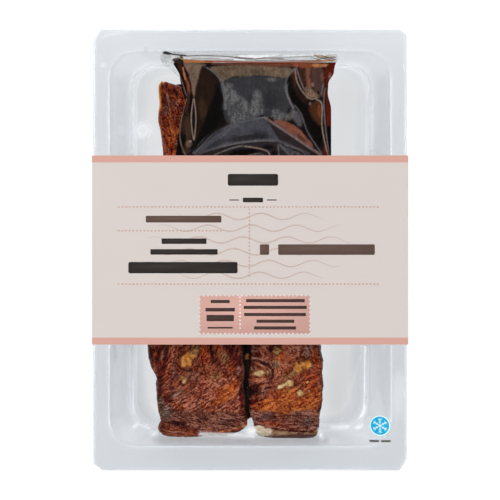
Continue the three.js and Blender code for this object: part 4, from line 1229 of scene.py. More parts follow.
sachetLayers = [
    # Left side: the clear edge, the mauve panel and the brown one
    (panel, "black", 0.8, [(-36.4, 90), (-32.1, 90), (-28.6, 82.4), (-27.1, 73), (-28.6, 66), (-27.6, 46),
        (-33, 44), (-34.4, 53), (-33, 66), (-31.4, 75), (-34, 84)]),
    (spot, "umber", -33.4, 87.4, 1.1, 3.4, 18, 0.8), (spot, "moss", -29.6, 58, 1.8, 8, 2, 0.9),
    (spot, "umber", -32, 60, 1.2, 6, 0, 0.7), (spot, "sand", -29.2, 50.6, 1.6, 1.6, 0, 0.6),
    (spot, "moss", -30.6, 47, 2, 2, 0, 0.8),
    (panel, "mauve", 1.3, [(-31.6, 89.5), (-28.6, 82.4), (-26.9, 73), (-25, 78.3), (-23.5, 86.1),
        (-21.4, 88.4)]),
    (spot, "olive", -26.6, 82.4, 1.6, 4, 6, 0.8), (spot, "sand", -29.2, 86.4, 1.2, 2.4, 20, 0.5),
    (panel, "brown", 1.3, [(-23.1, 86.8), (-26.2, 74.2), (-25.5, 60.3), (-25.6, 51.8), (-22.4, 59.3),
        (-18.4, 70.1), (-15, 79.7), (-18.4, 84.1), (-21.6, 87.2)]),
    (spot, "moss", -22.4, 67, 1.8, 6, 6, 0.6),
    (panel, "black", 2.2, [(-15, 79.7), (-12.2, 72.2), (-13.6, 63.7), (-20.4, 53.5), (-28.6, 45.3),
        (-25.8, 51.8), (-18.4, 70.1)]),
    # Middle: a painted grey reflection on the film with its frosted sheen, and the olive band over it
    (panel, "steel", 1.6, [(-13.3, 80), (-3.4, 82.9), (16.7, 82.3), (17, 76), (19, 68), (12.6, 62.6),
        (6.5, 64.2), (-2.4, 62), (-10.5, 60.6), (-12.6, 67), (-12.4, 73)]),
    *each(panel, "frost", (1.8, [(-11.6, 79), (-7.8, 76), (-2.7, 71.5), (0, 66.6), (-3.7, 61.8),
        (-8.5, 61.2), (-11.4, 68.8)]),
        (1.6, [(2, 75.4), (4.6, 75.6), (5.9, 70.8), (5.8, 65.2), (-2, 63.6), (0.9, 69.4)]),
        (2.2, [(10.4, 66.3), (13.9, 66.1), (18.7, 63.3), (12.6, 61.9)])),
    (spot, "steel", -4.6, 76.4, 3.4, 2.4, -40, 0.8), (spot, "sauce", 10, 72, 3, 4.6, 0, 0.35),
    # painted highlights
    *each(spot, "grey", (10.2, 81, 2.4, 1.0, 0, 0.7), (-9.4, 78.4, 1.6, 1.2, 0, 0.6)),
    (spot, "sauce", -6.6, 68.4, 1.2, 2.6, 20, 0.5),
    (panel, "olive", 1.0, [(-18.7, 87.2), (0, 87.8), (20.7, 86.1), (16.7, 82.2), (4.4, 83.2), (-8.5, 82.5),
        (-13.3, 80.4), (-16, 83.8)]),
    *each(spot, "moss", (2.4, 84.8, 3, 1.2, 0, 0.5), (-9, 86.4, 4, 0.9, 4, 0.4)),
    (spot, "sand", 12, 84.4, 3.4, 0.9, -4, 0.5), (spot, "moss", -12.6, 83.6, 2.4, 0.9, -30, 0.5),
    *each(spot, "sand", (8, 86.2, 3, 0.8, 0, 0.5), (17.4, 84.6, 1.6, 1, -20, 0.4)),
    # Top edge
    (stroke, "umber", 0.8, 0.8, [(-33, 91), (-18, 91.2), (0, 90.3), (12, 89.6), (24, 90.4), (36, 90.4)]),
    (stroke, "orange", 0.5, 1.0, [(-28.6, 89.9), (-24, 90.3), (-19.4, 90.2)]),
    (stroke, "rust", 0.4, 0.9, [(-20, 90), (0, 89.2), (11.2, 88.5), (21.4, 88.9), (25.5, 89.3)]),
    (stroke, "copper", 0.6, 0.6, [(-18, 88.9), (0, 88.2), (12, 87.6), (20, 87.8)]),
    # Right side
    (panel, "black", 0.8, [(18.7, 83.1), (17.7, 77), (20.7, 69.8), (24.8, 64.4), (30.3, 52.5),
        (33.7, 47.7), (35, 50.8), (33.7, 59.9), (28, 66.4), (22.1, 74.9)]),
    # painted sheen and highlight on the right fold
    (spot, "haze", 22.2, 63.4, 1.9, 5, 26, 0.75), (spot, "grey", 19.2, 64, 1.6, 2.4, -30, 0.5),
    (panel, "brown", 1.6, [(20, 85.6), (21.4, 79.7), (27.6, 71.2), (25, 70.6), (21.6, 75), (19.4, 80.6)]),
    (spot, "wine", 21, 83.6, 1, 2.6, 0, 0.6), (spot, "umber", 21.4, 81, 0.8, 3, 6, 0.8),
    (panel, "umber", 1.2, [(22.8, 86.6), (26.9, 86.4), (26.9, 79.7), (24.8, 77.6), (23.6, 82.6)]),
    (panel, "copper", 1.4, [(27.2, 88.6), (28.9, 88.6), (28.4, 82.4), (29.3, 78.3), (26.9, 77.6)]),
    (panel, "plum", 1.6, [(29.3, 86.1), (34.4, 86.3), (35.2, 79), (31.6, 75.6), (30, 79)]),
    (spot, "rose", 29.9, 78.8, 0.8, 1.2, 0, 0.9), (spot, "copper", 34.4, 82, 0.8, 2.8, 4, 0.6),
    (panel, "sand", 1.8, [(25.9, 76.8), (28.8, 77), (32.6, 73), (29.9, 72), (27.2, 73)]),
    (panel, "plum", 0.9, [(33, 78), (35.2, 80), (35.4, 74), (33.4, 73.6)]),
    (panel, "rust", 1.8, [(22.1, 89.2), (30.3, 88.9), (30.3, 87.2), (21.4, 87.1)]),
    (panel, "orange", 1.0, [(30, 88.7), (37.4, 88.5), (37.1, 87.1), (30.3, 87.4)]),
    (panel, "wine", 0.9, [(36.1, 86.6), (41, 89.8), (39.5, 80), (38.7, 70), (38.9, 60.6), (37.1, 58),
        (36.1, 66.1), (36.2, 77)]),
    (spot, "rose", 38.2, 81.8, 0.7, 2.6, 6, 0.9), (spot, "wine", 37.3, 64.2, 0.9, 3, 0, 0.8),
    *each(spot, "brown", (38.2, 72.4, 1.1, 4, 0, 0.8), (37.4, 87, 1.4, 1, 0, 0.5)),
    (panel, "amber", 1.8, [(29.2, 69.6), (31.6, 71.2), (34, 70), (34.2, 60.5), (31.4, 61), (28.6, 66)]),
    (spot, "rust", 33, 66.6, 0.8, 3.4, 4, 0.6), (spot, "rose", 28.6, 69.6, 0.6, 0.9, 0, 0.8),
    (panel, "black", 0.9, [(36.4, 58), (39.4, 58), (39.4, 43), (35.2, 43), (35, 52)]),
    (spot, "wine", 36.1, 47.7, 1.2, 3, 0, 1.0), (spot, "brown", 35.2, 52.4, 0.8, 2.4, 0, 0.8),
    # Low middle: a painted reflection over the ridge, the painted shade of the dark facet, and the copper
    # one
    (panel, "dusk", 1.2, [(-26.5, 45.9), (-19.4, 52.5), (-9.9, 59.4), (0, 62.3), (7.1, 62.8), (12.6, 54.6),
        (14.4, 52), (1, 51.4), (-10.9, 49.8), (-19, 47)]),
    (spot, "haze", -9.4, 57.6, 6, 1.3, 28, 0.3),
    *each(spot, "sauce", (-2, 53.2, 10, 1.8, 6, 0.7), (-17, 49.8, 6, 1.6, 34, 0.6)),
    (spot, "steel", -13, 51.4, 6, 1.2, 30, 0.5), (spot, "sauce", 6, 54.6, 5, 2.4, -20, 0.5),
    (panel, "facet", 0.9, [(7.5, 62.4), (12.9, 55.2), (14.6, 52.1), (28, 46), (31, 46), (24, 50.4),
        (11, 59.6)]),
    (panel, "copper", 0.9, [(11.6, 61.4), (15.3, 61.7), (22.1, 58.6), (26.9, 53.8), (30.3, 48.8),
        (24.1, 52.1), (15.3, 58.6)]),
    (spot, "rust", 19, 58.8, 4, 1.2, -34, 0.6), (spot, "brown", 24.4, 53.2, 3, 0.9, -42, 0.6),
    # painted highlights along the ridge crests
    (stroke, "haze", 0.7, 0.6, [(-25.8, 45.3), (-10.9, 50.1), (1, 51.8), (11.2, 52.3), (16, 51),
        (28.2, 45.7)]),
    (stroke, "rose", 0.6, 1.0, [(7.1, 63), (15.3, 57.6), (24.8, 51.1), (33.7, 45.3)]),
    (stroke, "haze", 0.4, 0.35, [(-26.5, 45.7), (-17, 55.5), (-5.1, 60.8), (7.1, 63)]),
    *each(spot, "frost", (-12, 55, 1.8, 0.5, 24, 1.0), (-7.6, 58.6, 1.4, 0.4, 20, 0.7)),
    # Under the ridge: the painted shade of the dark facet, and painted highlight lines
    (panel, "facet", 0.8, [(-25, 44.6), (-10.9, 49.2), (6.1, 51.4), (15.6, 50), (27, 45), (27, 42),
        (-25, 42)]),
    *each(spot, "black", (-3, 46.6, 8, 1.9, 8, 1.0), (9, 49, 3.4, 1.4, -6, 0.9),
        (11.6, 46, 1.4, 2, 0, 0.8)),
    (panel, "dusk", 0.8, [(14.6, 50), (20, 47.8), (25.4, 45.4), (18.4, 45.4), (14.6, 48.6)]),
    # painted highlight lines
    (stroke, "grey", 0.3, 0.9, [(-17, 45.3), (-8.5, 48.6), (-3.7, 49.7)]),
    (stroke, "pale", 0.3, 0.8, [(-2.4, 49.4), (2.7, 48.7), (8, 47.2), (9.4, 45.3)]),
    *each(stroke, "grey", (0.3, 0.8, [(-0.3, 45.3), (4.4, 45.9), (6.4, 45.2)]),
        (0.3, 0.8, [(13.4, 50.4), (13.8, 45)]), (0.3, 0.7, [(14.3, 50.4), (18.7, 45.3)]),
        (0.3, 0.7, [(16.7, 50.1), (24.1, 47.4), (26.5, 45.3)]),
        (0.3, 0.8, [(19.7, 45), (20.7, 46.7), (22.3, 46.4), (23.5, 45)])),
    # Creases as painted highlights, and the bright strand at the left edge, a painted highlight too
    *each(stroke, "haze",
        (0.35, 0.9, [(-20.2, 86.6), (-16.3, 83.6), (-13.6, 79.4), (-12.3, 72.2), (-12, 67)]),
        (0.4, 0.9, [(21.1, 86.1), (18, 82.6), (16.7, 77), (18.7, 70.8), (20.6, 67.4)])),
    (stroke, "pale", 0.3, 0.8, [(21.4, 86.1), (22.5, 80), (25.9, 74.2), (28.9, 71.9), (31.6, 72.4)]),
    (stroke, "grey", 0.3, 0.9, [(22.1, 86.5), (24, 80.7), (25.9, 76.3)]),
    (stroke, "pale", 0.3, 0.9, [(31.6, 71.7), (34.3, 69.4), (34.2, 59.9), (35.4, 52.5), (37.1, 45.3)]),
    *each(stroke, "grey", (0.28, 0.9, [(35.9, 77), (35.2, 71), (36.1, 57.6), (37.8, 45.3)]),
        (0.3, 0.8, [(35, 79.3), (34, 74.2)])),
    (stroke, "haze", 0.3, 0.8, [(21.4, 68.8), (24.5, 64.4), (27.6, 55.9), (34.4, 45.7)]),
    *each(stroke, "pale", (0.26, 0.8, [(-27, 72), (-28, 64), (-27.6, 57), (-26.8, 52.6)]),
        (0.26, 0.8, [(-26.6, 72), (-25.8, 64), (-26, 58), (-26.6, 52.6)])),
    (stroke, "mauve", 0.35, 0.8, [(-30.2, 72), (-32.5, 64), (-33.5, 55), (-32.4, 49), (-30.6, 45)]),
    (spot, "pale", -28.5, 51.8, 0.8, 0.7, 0, 0.8),
    (stroke, "rust", 0.7, 0.9, [(-31.5, 84), (-29.4, 78.4), (-29.2, 74.4)]),
    (stroke, "umber", 0.8, 0.9, [(-29.4, 75), (-29.4, 71), (-30.6, 66)]),
    (stroke, "orange", 0.32, 0.9, [(-31.9, 86.8), (-31.4, 84), (-30.8, 81.4)]),
    (stroke, "mauve", 0.3, 0.7, [(-34, 84.4), (-32, 79), (-30.4, 73.6)]),
]


def sachetHeight(plan, x, y, u, side):
    toEnd = np.minimum(y - plan["from"], plan["bodyTo"] - y)
    filled = np.clip(toEnd / plan["fillLength"], 0, 1)
    lean = easeAll(y, plan["lean"], plan["to"])
    centre = plan["middle"] + (plan["rim"] - plan["middle"]) * lean
    bulge = np.sqrt(np.clip(1 - np.abs(u) ** plan["sidePower"], 0, 1))
    body = plan["thick"] * filled ** plan["fillPower"] * bulge * (1 - plan["leanThin"] * lean)
    z = centre + side * np.maximum(plan["sealThick"], body) / 2
    if side > 0:
        z = z - plan["foldRoom"] * np.clip(body / 4, 0, 1)
        relief = np.zeros(x.shape)
        for height, left, right, points in sachetFolds:
            d = toCrest(smoothRow(points), x, y)
            away = np.abs(d) / np.where(d > 0, left, right)
            fold = plan["foldShare"] * height * np.exp(-away ** plan["foldPower"])
            relief = np.maximum(relief, fold) + plan["foldAdded"] * fold
        raised = np.clip(body / 2, 0, 1) * easeAll(y, *plan["foldsFrom"])
        z = z + raised * np.minimum(relief, plan["reliefMost"])
    wave = plan["ripple"] * np.sin(x / plan["rippleSize"] + 2 * np.sin(y / 9))
    ripple = wave * np.exp(-np.maximum(toEnd, 0) / plan["rippleReach"])
    return z + ripple * filled * side


def buildSachet(plan):
    bm = bmesh.new()
    mattLayer = bm.verts.layers.float.new("matt")
    start, middle, end = plan["from"], plan["visibleFrom"], plan["bodyTo"]
    lines = plan["visibleLines"] + plan["hiddenLines"]
    split = plan["hiddenLines"] / lines
    for side in (1, -1):
        verts = bmesh.ops.create_grid(bm, x_segments=plan["columns"], y_segments=lines, size=1)["verts"]
        u = np.array([v.co.x for v in verts])
        w = (np.array([v.co.y for v in verts]) + 1) / 2
        y = np.where(w < split, start + (middle - start) * w / split,
                     middle + (end - middle) * (w - split) / (1 - split))
        low = np.array([along(plan["low"], value) for value in y])
        high = np.array([along(plan["high"], value) for value in y])
        x = (low + high) / 2 + u * (high - low) / 2
        z = sachetHeight(plan, x, y, u, side)
        for index, v in enumerate(verts):
            v.co = Vector((x[index], y[index], z[index]))
            v[mattLayer] = ease(abs(u[index]), *plan["mattFrom"])
    bmesh.ops.bridge_loops(bm, edges=[e for e in bm.edges if e.is_boundary])
    bmesh.ops.recalc_face_normals(bm, faces=bm.faces)
    toMetres(bm)
    mesh = meshOf(bm, "sachet_body")
    fray = np.array([0.5 * noise.noise(v.co / (4 * mm)) + 0.5 * noise.noise(v.co / (1.2 * mm))
                     for v in mesh.vertices])
    setPaint(mesh, paintMesh(mesh, sachetPalette, "sauce", sachetLayers, fray, plan["paintLevel"]))
    return mesh


# The sachet's paint holds the sauce's colours and the film's painted sheen and highlights; its gloss on top
# is real
def sauceAndPaintedSheen(plan):
    material, tree = newMaterial("sauceAndPaintedSheen")
    place = placeOf(tree)
    turned = put(tree, "ShaderNodeMapping", {
        "Vector": place, "Rotation": (0, 0, plan["smearTurn"]), "Scale": (1, plan["smearStretch"], 1)})
    smear = grain(tree, turned.outputs[0], 2.0, 5, 0.65, 1.0)
    fine = grain(tree, place, 1.0, 4, 0.65, 0.8)
    mottle = sums(tree, "MULTIPLY_ADD", smear, 0.6, sums(tree, "MULTIPLY", fine, 0.4))
    level = gradient(tree, mottle, plan["smears"])
    shade = blendColour(tree, 1.0, attributeOf(tree, "paint", "Color"), level, "MULTIPLY")
    # frost is the share of painted frosted sheen; where it breaks up, the darker frost colour shows
    frost = attributeOf(tree, "paint", "Alpha")
    broken = sums(tree, "MULTIPLY", frost, span(tree, mottle, 0.55, 0.44, 0.0, 0.8))
    shade = blendColour(tree, broken, shade, colour(*plan["frostColour"]))
    normal = bumps(tree, smear, 0.25, 0.3)
    normal = bumps(tree, sums(tree, "MULTIPLY", fine, frost), 0.3, 0.4, normal)
    shine = sums(tree, "MULTIPLY_ADD", attributeOf(tree, "matt"), -0.15, 0.15)
    pouch = put(tree, "ShaderNodeBsdfPrincipled", {
        "Base Color": shade, "Roughness": sums(tree, "MULTIPLY_ADD", frost, 0.25, 0.14), "Normal": normal,
        "Specular IOR Level": shine, "Coat Weight": sums(tree, "MULTIPLY", shine, 0.2),
        "Coat Roughness": 0.08})
    finish(tree, pouch.outputs[0])
    return material


# The end seal is clear, with dark pleats, and a flap stands out at its left end
sealPlan = {
    "from": 89.1, "to": 95, "left": -42, "right": 41.6, "lift": 0.35, "thickness": 0.1,
    "columns": 260, "lines": 24, "taper": 0.3, "taperEnd": 0.2, "wave": 0.12, "waveSize": 3.1,
    "flap": [(-42.3, 93.4), (-42.6, 91), (-40.8, 88.2), (-37.4, 85.9), (-34.2, 82.8)],
    # where the flap is held, how far it lies under the seal, and how far it falls to there
    "flapRoot": ((-38, 93), (-32.6, 81)), "flapUnder": 0.1, "flapFall": 1.2,
    "flapColumns": 24, "flapLines": 10, "secondRim": (1.3, 0.3),
    "tint": (0.985, 0.985, 0.985), "gloss": 0.012,
}
# The last value is how much the shade hides. White is a painted highlight on the seal's ripples and the
# flap's edges.
sealPalette = {
    "clear": (225, 229, 232, 0.0), "milk": (206, 208, 209, 0.75), "white": (236, 239, 241, 0.9),
    "line": (86, 76, 72, 0.85), "brown": (112, 62, 48, 0.9), "tan": (176, 152, 122, 0.85),
    "black": (34, 30, 28, 1.0), "grey": (150, 150, 150, 0.7), "amber": (156, 102, 62, 0.95),
    "rust": (140, 70, 46, 0.95),
}
sealLayers = [
    (panel, "milk", 0.5, [(-34, 89.4), (-33, 92.6), (-12, 93), (16, 93.3), (40, 93.2), (41.4, 90.4),
        (40, 89.4)]),
    # painted highlight
    (panel, "white", 0.4, [(-8, 92), (0, 93), (14, 93.1), (8, 91.8), (2, 91.2)]),
    (panel, "amber", 0.4, [(-34, 90.9), (-30, 90.8), (-24, 90.4), (-19, 90), (-18, 89), (-33, 89)]),
    (panel, "black", 0.3, [(-36.9, 90.8), (-34.6, 91.4), (-32.4, 91), (-31.6, 89), (-35.8, 89)]),
    (stroke, "rust", 0.5, 1.0, [(-21, 89.9), (-12, 89.7), (0, 89.3), (12, 89.2), (24, 89.4), (34, 89.7)]),
    (stroke, "amber", 0.4, 1.0, [(30, 89.8), (36, 90), (40, 90.2)]),
    (stroke, "line", 0.2, 0.6, [(-12, 90.4), (0, 90), (12, 89.9), (24, 90.1), (34, 90.4)]),
    # painted highlights
    *each(stroke, "white", (0.3, 0.9, [(-14, 91.2), (-6, 90.6), (2, 90.3)]),
        (0.4, 0.8, [(16, 92.4), (26, 92.8), (36, 92.9)])),
    (stroke, "grey", 0.16, 0.8, [(-28, 92.8), (-12, 93.1), (4, 93.2), (18, 93.4), (39.4, 93.3)]),
    *each(stroke, "line",
        (0.26, 0.9, [(-31, 92.3), (-22, 92.5), (-10, 92.1), (-5.4, 91.3), (1.6, 90.9), (7, 91.5)]),
        (0.2, 0.6, [(7, 91.5), (15.7, 91.6), (25.7, 92.1), (31.6, 92.3)])),
    *each(stroke, "brown", (0.22, 0.9, [(-7, 92), (-3, 91.5), (1.4, 91.2)]),
        (0.22, 0.8, [(2, 90.9), (9, 91.3), (16, 91)])),
    *each(stroke, "line", (0.2, 0.7, [(-2, 90.4), (6, 90.2), (14, 90.6), (22, 90.2), (30, 90.4)]),
        (0.24, 0.6, [(-28, 91), (-18, 91), (-8, 90.6)])),
    (spot, "tan", 35, 91.8, 4.6, 0.7, -14, 0.9),
    *each(stroke, "line", (0.26, 0.9, [(30.6, 92.8), (34, 91.4), (38.4, 90.4)]),
        (0.24, 0.9, [(32, 90.4), (36, 91.6), (41, 90.6)])),
    (stroke, "tan", 0.26, 0.9, [(32, 91.4), (37, 92.4), (41, 91.6)]),
    (stroke, "black", 0.26, 0.8, [(34, 92.6), (37.6, 91.6), (40.6, 91.8)]),
    (stroke, "line", 0.2, 0.8, [(29, 91.6), (33, 90.6)]),
    (panel, "black", 0.2, [(-41.4, 93.4), (-40.4, 94.7), (-36.4, 93.5), (-30.6, 92.9), (-31, 92.2),
        (-36.4, 92.8)]),
    (spot, "black", -32.6, 91.5, 1.2, 0.8, -50, 1.0), (spot, "line", -35.2, 90.9, 1.6, 0.6, 20, 0.9),
    (stroke, "tan", 0.3, 0.8, [(-34.6, 92), (-31.4, 90.6)]),
]


def buildSeal(plan):
    bm = bmesh.new()
    top = sachetPlan["rim"] + plan["lift"]
    made = bmesh.ops.create_grid(bm, x_segments=plan["columns"], y_segments=plan["lines"], size=1)["verts"]
    for v in made:
        share = (v.co.x + 1) / 2
        rise = (v.co.y + 1) / 2
        x = plan["left"] + (plan["right"] - plan["left"]) * share
        narrow = 1 - plan["taper"] * ease(share, 0.0, plan["taperEnd"])
        y = plan["from"] + (plan["to"] - plan["from"]) * rise * narrow
        v.co = Vector((x, y, top + plan["wave"] * sin(x / plan["waveSize"] + y) * rise))
    flap = bmesh.ops.create_grid(bm, x_segments=plan["flapColumns"], y_segments=plan["flapLines"],
                                 size=1)["verts"]
    rim = [Vector(point) for point in smoothRow(plan["flap"], 8)]
    rootStart, rootEnd = (Vector(point) for point in plan["flapRoot"])
    for v in flap:
        share = (v.co.x + 1) / 2
        across = (v.co.y + 1) / 2
        t = share * (len(rim) - 1)
        low = min(int(t), len(rim) - 2)
        outer = rim[low].lerp(rim[low + 1], t - low)
        flat = outer.lerp(rootStart.lerp(rootEnd, share), across)
        v.co = Vector((flat.x, flat.y, top - plan["flapUnder"] - plan["flapFall"] * across))
    toMetres(bm)
    mesh = meshOf(bm, "sachet_seal")
    shiftX, shiftY = plan["secondRim"]
    second = [(x + shiftX, y + shiftY) for x, y in plan["flap"]]
    layers = [
        *sealLayers,
        (stroke, "grey", 0.2, 0.7, plan["flap"]),
        (stroke, "grey", 0.16, 0.5, second),
        # painted highlights on the flap
        (stroke, "white", 0.22, 0.9, [(-38.4, 90), (-35.6, 86.4), (-33, 82.4)]),
        (stroke, "white", 0.22, 0.9, [(-36.6, 89.6), (-34.6, 86), (-32.6, 82.6)]),
    ]
    setPaint(mesh, paintMesh(mesh, sealPalette, "clear", layers, np.zeros(len(mesh.vertices))))
    return mesh


def sealFilm(plan):
    material, tree = newMaterial("sealFilm")
    place = placeOf(tree)
    ripple = grain(tree, place, 2.2, 3)
    normal = bumps(tree, ripple, 0.2, 0.5)
    through = put(tree, "ShaderNodeBsdfTransparent", {"Color": colour(*plan["tint"])})
    level = gradient(tree, ripple, [(0.35, (0.9, 0.9, 0.9)), (0.65, (1.06, 1.06, 1.06))])
    shade = blendColour(tree, 1.0, attributeOf(tree, "paint", "Color"), level, "MULTIPLY")
    body = put(tree, "ShaderNodeBsdfPrincipled", {
        "Base Color": shade, "Roughness": 0.4, "Specular IOR Level": 0.1, "Normal": normal})
    film = put(tree, "ShaderNodeMixShader", {
        0: attributeOf(tree, "paint", "Alpha"), 1: through.outputs[0], 2: body.outputs[0]})
    gloss = put(tree, "ShaderNodeBsdfGlossy", {
        "Color": colour(1, 1, 1), "Roughness": 0.1, "Normal": normal})
    clear = put(tree, "ShaderNodeMixShader", {
        0: plan["gloss"], 1: film.outputs[0], 2: gloss.outputs[0]})
    finish(tree, clear.outputs[0])
    return material


addPiece("sachet_body", buildSachet(sachetPlan), sauceAndPaintedSheen(sachetPlan), ["sachet"])
sealPiece = addPiece("sachet_seal", buildSeal(sealPlan), sealFilm(sealPlan))
thicken(sealPiece, "thickness", sealPlan["thickness"])
print("sachet filled")

addPiece("sauce_pool", buildPool(poolPlan), poolMaterial(poolPlan))


# Sleeve: the CAD band of card with its edge stripes, and its print laid on as thin ink

sleeveLow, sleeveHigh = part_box("sleeve")
sleevePlan = {
    "length": (sleeveHigh.y - sleeveLow.y) / mm, "top": sleeveHigh.z / mm, "stripe": 3.3,
    "field": (0.634, 0.567, 0.542), "panel": (0.65, 0.59, 0.558), "stripeColour": (0.63, 0.348, 0.288),
}


def printedCard(plan):
    material, tree = newMaterial("printedCard")
    place = placeOf(tree)
    y = put(tree, "ShaderNodeSeparateXYZ", {0: place}).outputs[1]
    edge = sums(tree, "GREATER_THAN", sums(tree, "ABSOLUTE", y), (plan["length"] / 2 - plan["stripe"]) * mm)
    pulp = grain(tree, place, 0.5, 4)
    cloud = grain(tree, place, 22, 2)
    field = blendColour(tree, cloud, colour(*plan["field"]), colour(*plan["panel"]))
    shade = blendColour(tree, edge, field, colour(*plan["stripeColour"]))
    normal = bumps(tree, pulp, 0.02, 0.4)
    card = put(tree, "ShaderNodeBsdfPrincipled", {
        "Base Color": shade, "Roughness": 0.55, "Normal": normal, "Specular IOR Level": 0.35})
    finish(tree, card.outputs[0])
    return material


dressNode("sleeve", printedCard(sleevePlan))


# Ink: plates are (x, y, width, height, how round their corners are)
inkPlan = {
    "layer": 0.015,
    "black": [(1.4, 33.4, 24, 5.6, 0.9), (1.4, 23.8, 9.6, 2.2, 0.4), (-7.6, 23.8, 4.6, 0.5, 0.1),
              (10.4, 23.8, 4.6, 0.5, 0.1),
              (-31.4, 4.2, 21.4, 2.6, 0.4), (-31.4, -0.9, 32, 2.6, 0.4), (-31.9, -8.4, 52, 5.4, 0.8)],
    "brown": [(-31.6, 14.7, 36, 3.2, 0.5), (6.9, 0.2, 4.4, 5, 0.5), (36.4, 0.2, 46, 5, 0.6)],
    "stamp": [(2.3, -30.8, 52.5, 18.4, 0.2)],
    "stampInk": [(-14.2, -24.5, 9, 1.5, 0.2), (-14.2, -28.4, 14, 1.7, 0.2), (-14.2, -32.4, 13, 3, 0.3),
                 (-14.2, -37, 12, 0.8, 0.3),
                 (12.1, -24.1, 28, 1.5, 0.2), (12, -27.3, 30, 1.5, 0.2), (11.9, -30.7, 29.4, 1.5, 0.2),
                 (12.1, -33.9, 18, 1.5, 0.2), (11.9, -37.1, 20, 1.5, 0.2)],
}
# Dotted lines are (x0, y0, x1, y1), with dots of the given pitch and radius
dotPlan = {
    "rose": {"lines": [(-62.5, 20.5, 62.6, 20.5), (-62.5, 9.2, -12.1, 9.2), (-62.5, -16.2, 62.6, -16.2),
                       (-0.3, 19.3, -0.3, -14)], "pitch": 1.76, "radius": 0.42},
    "white": {"lines": [(-4.7, -22.5, -4.7, -39)], "pitch": 1.75, "radius": 0.42},
    "holes": {"lines": [(-24, -21.6, 28.6, -21.6), (28.6, -21.6, 28.6, -40), (28.6, -40, -24, -40),
                        (-24, -40, -24, -21.6)], "pitch": 2.0, "radius": 0.6},
}
# Waves reach less far at the top and the bottom, and each is shifted against the one before
wavePlan = {
    "lines": 6, "from": (-50, 16), "to": (50, -12), "height": 1.5, "length": 21, "width": 0.7,
    "reach": (0.6, 0.4), "shift": 1.3, "steps": 120,
}
inkShades = {
    "pale": (0.48, 0.385, 0.34), "black": (0.025, 0.02, 0.018), "brown": (0.1, 0.062, 0.05),
    "rose": (0.5, 0.31, 0.25), "stamp": (0.575, 0.33, 0.285), "dark": (0.05, 0.03, 0.025),
    "white": (0.85, 0.8, 0.76), "card": sleevePlan["panel"],
}


def buildPlates(plates, level):
    bm = bmesh.new()
    for x, y, width, height, corner in plates:
        made = bmesh.ops.create_cube(bm, size=1)["verts"]
        matrix = Matrix.Translation((x, y, level + inkPlan["layer"] / 2)) @ Matrix.Diagonal(
            (width, height, inkPlan["layer"], 1))
        bmesh.ops.transform(bm, matrix=matrix, verts=made)
        upright = [e for e in bm.edges if e.verts[0] in made
                   and abs(e.verts[0].co.z - e.verts[1].co.z) > inkPlan["layer"] / 2]
        bmesh.ops.bevel(bm, geom=upright, offset=corner, affect="EDGES", segments=4, profile=0.5,
                        material=-1)
    toMetres(bm)
    return meshOf(bm, "ink")


def buildDots(plan, level):
    bm = bmesh.new()
    for x0, y0, x1, y1 in plan["lines"]:
        count = round(hypot(x1 - x0, y1 - y0) / plan["pitch"])
        for k in range(count):
            x = x0 + (x1 - x0) * k / count
            y = y0 + (y1 - y0) * k / count
            place = Matrix.Translation((x, y, level + inkPlan["layer"] / 2))
            bmesh.ops.create_cone(bm, cap_ends=True, segments=10, radius1=plan["radius"],
                                  radius2=plan["radius"], depth=inkPlan["layer"], matrix=place)
    toMetres(bm)
    return meshOf(bm, "dots")


def buildWaves(plan, level):
    bm = bmesh.new()
    (x0, y0), (x1, y1) = plan["from"], plan["to"]
    least, more = plan["reach"]
    for line in range(plan["lines"]):
        y = y0 + (y1 - y0) * line / (plan["lines"] - 1)
        reach = least + more * sin(pi * (line + 0.5) / plan["lines"])
        made = bmesh.ops.create_grid(bm, x_segments=plan["steps"], y_segments=1, size=1)["verts"]
        for v in made:
            t = (v.co.x + 1) / 2
            x = (x0 + (x1 - x0) * t) * reach
            half = plan["width"] / 2 * sin(pi * min(max(t, 0.001), 0.999)) ** 0.5
            rise = plan["height"] * sin(2 * pi * x / plan["length"] + line * plan["shift"])
            v.co = Vector((x, y + rise + v.co.y * half, level + inkPlan["layer"] / 2))
    bmesh.ops.solidify(bm, geom=bm.faces[:], thickness=inkPlan["layer"] / 2)
    toMetres(bm)
    return meshOf(bm, "waves")


# glow makes the ink emit: painted light, used only by the freezing mark
def inkMaterial(name, shade, glow=0.0):
    material, tree = newMaterial(name)
    place = placeOf(tree)
    worn = grain(tree, place, 0.35, 3)
    lighter = tuple(min(1.0, c * 1.35 + 0.004) for c in shade)
    tone = blendColour(tree, worn, colour(*shade), colour(*lighter))
    ink = put(tree, "ShaderNodeBsdfPrincipled", {
        "Base Color": tone, "Roughness": 0.5, "Specular IOR Level": 0.1,
        "Emission Color": tone, "Emission Strength": glow, "Normal": bumps(tree, worn, 0.01, 0.3)})
    finish(tree, ink.outputs[0])
    return material


top = sleevePlan["top"]
above = top + inkPlan["layer"]
for name, mesh, ink in (
    ("print_waves", buildWaves(wavePlan, top), "pale"),
    ("print_black", buildPlates(inkPlan["black"], top), "black"),
    ("print_brown", buildPlates(inkPlan["brown"], top), "brown"),
    ("print_rose", buildDots(dotPlan["rose"], top), "rose"),
    ("stamp", buildPlates(inkPlan["stamp"], top), "stamp"),
    ("stamp_print", buildPlates(inkPlan["stampInk"], above), "dark"),
    ("stamp_dots", buildDots(dotPlan["white"], above), "white"),
    ("stamp_holes", buildDots(dotPlan["holes"], above), "card"),
):
    addPiece(name, mesh, inkMaterial(ink + "Ink", inkShades[ink]))
print("sleeve printed")


# Freezing mark: a thin disc on the film, with a white ring and a six-armed crystal

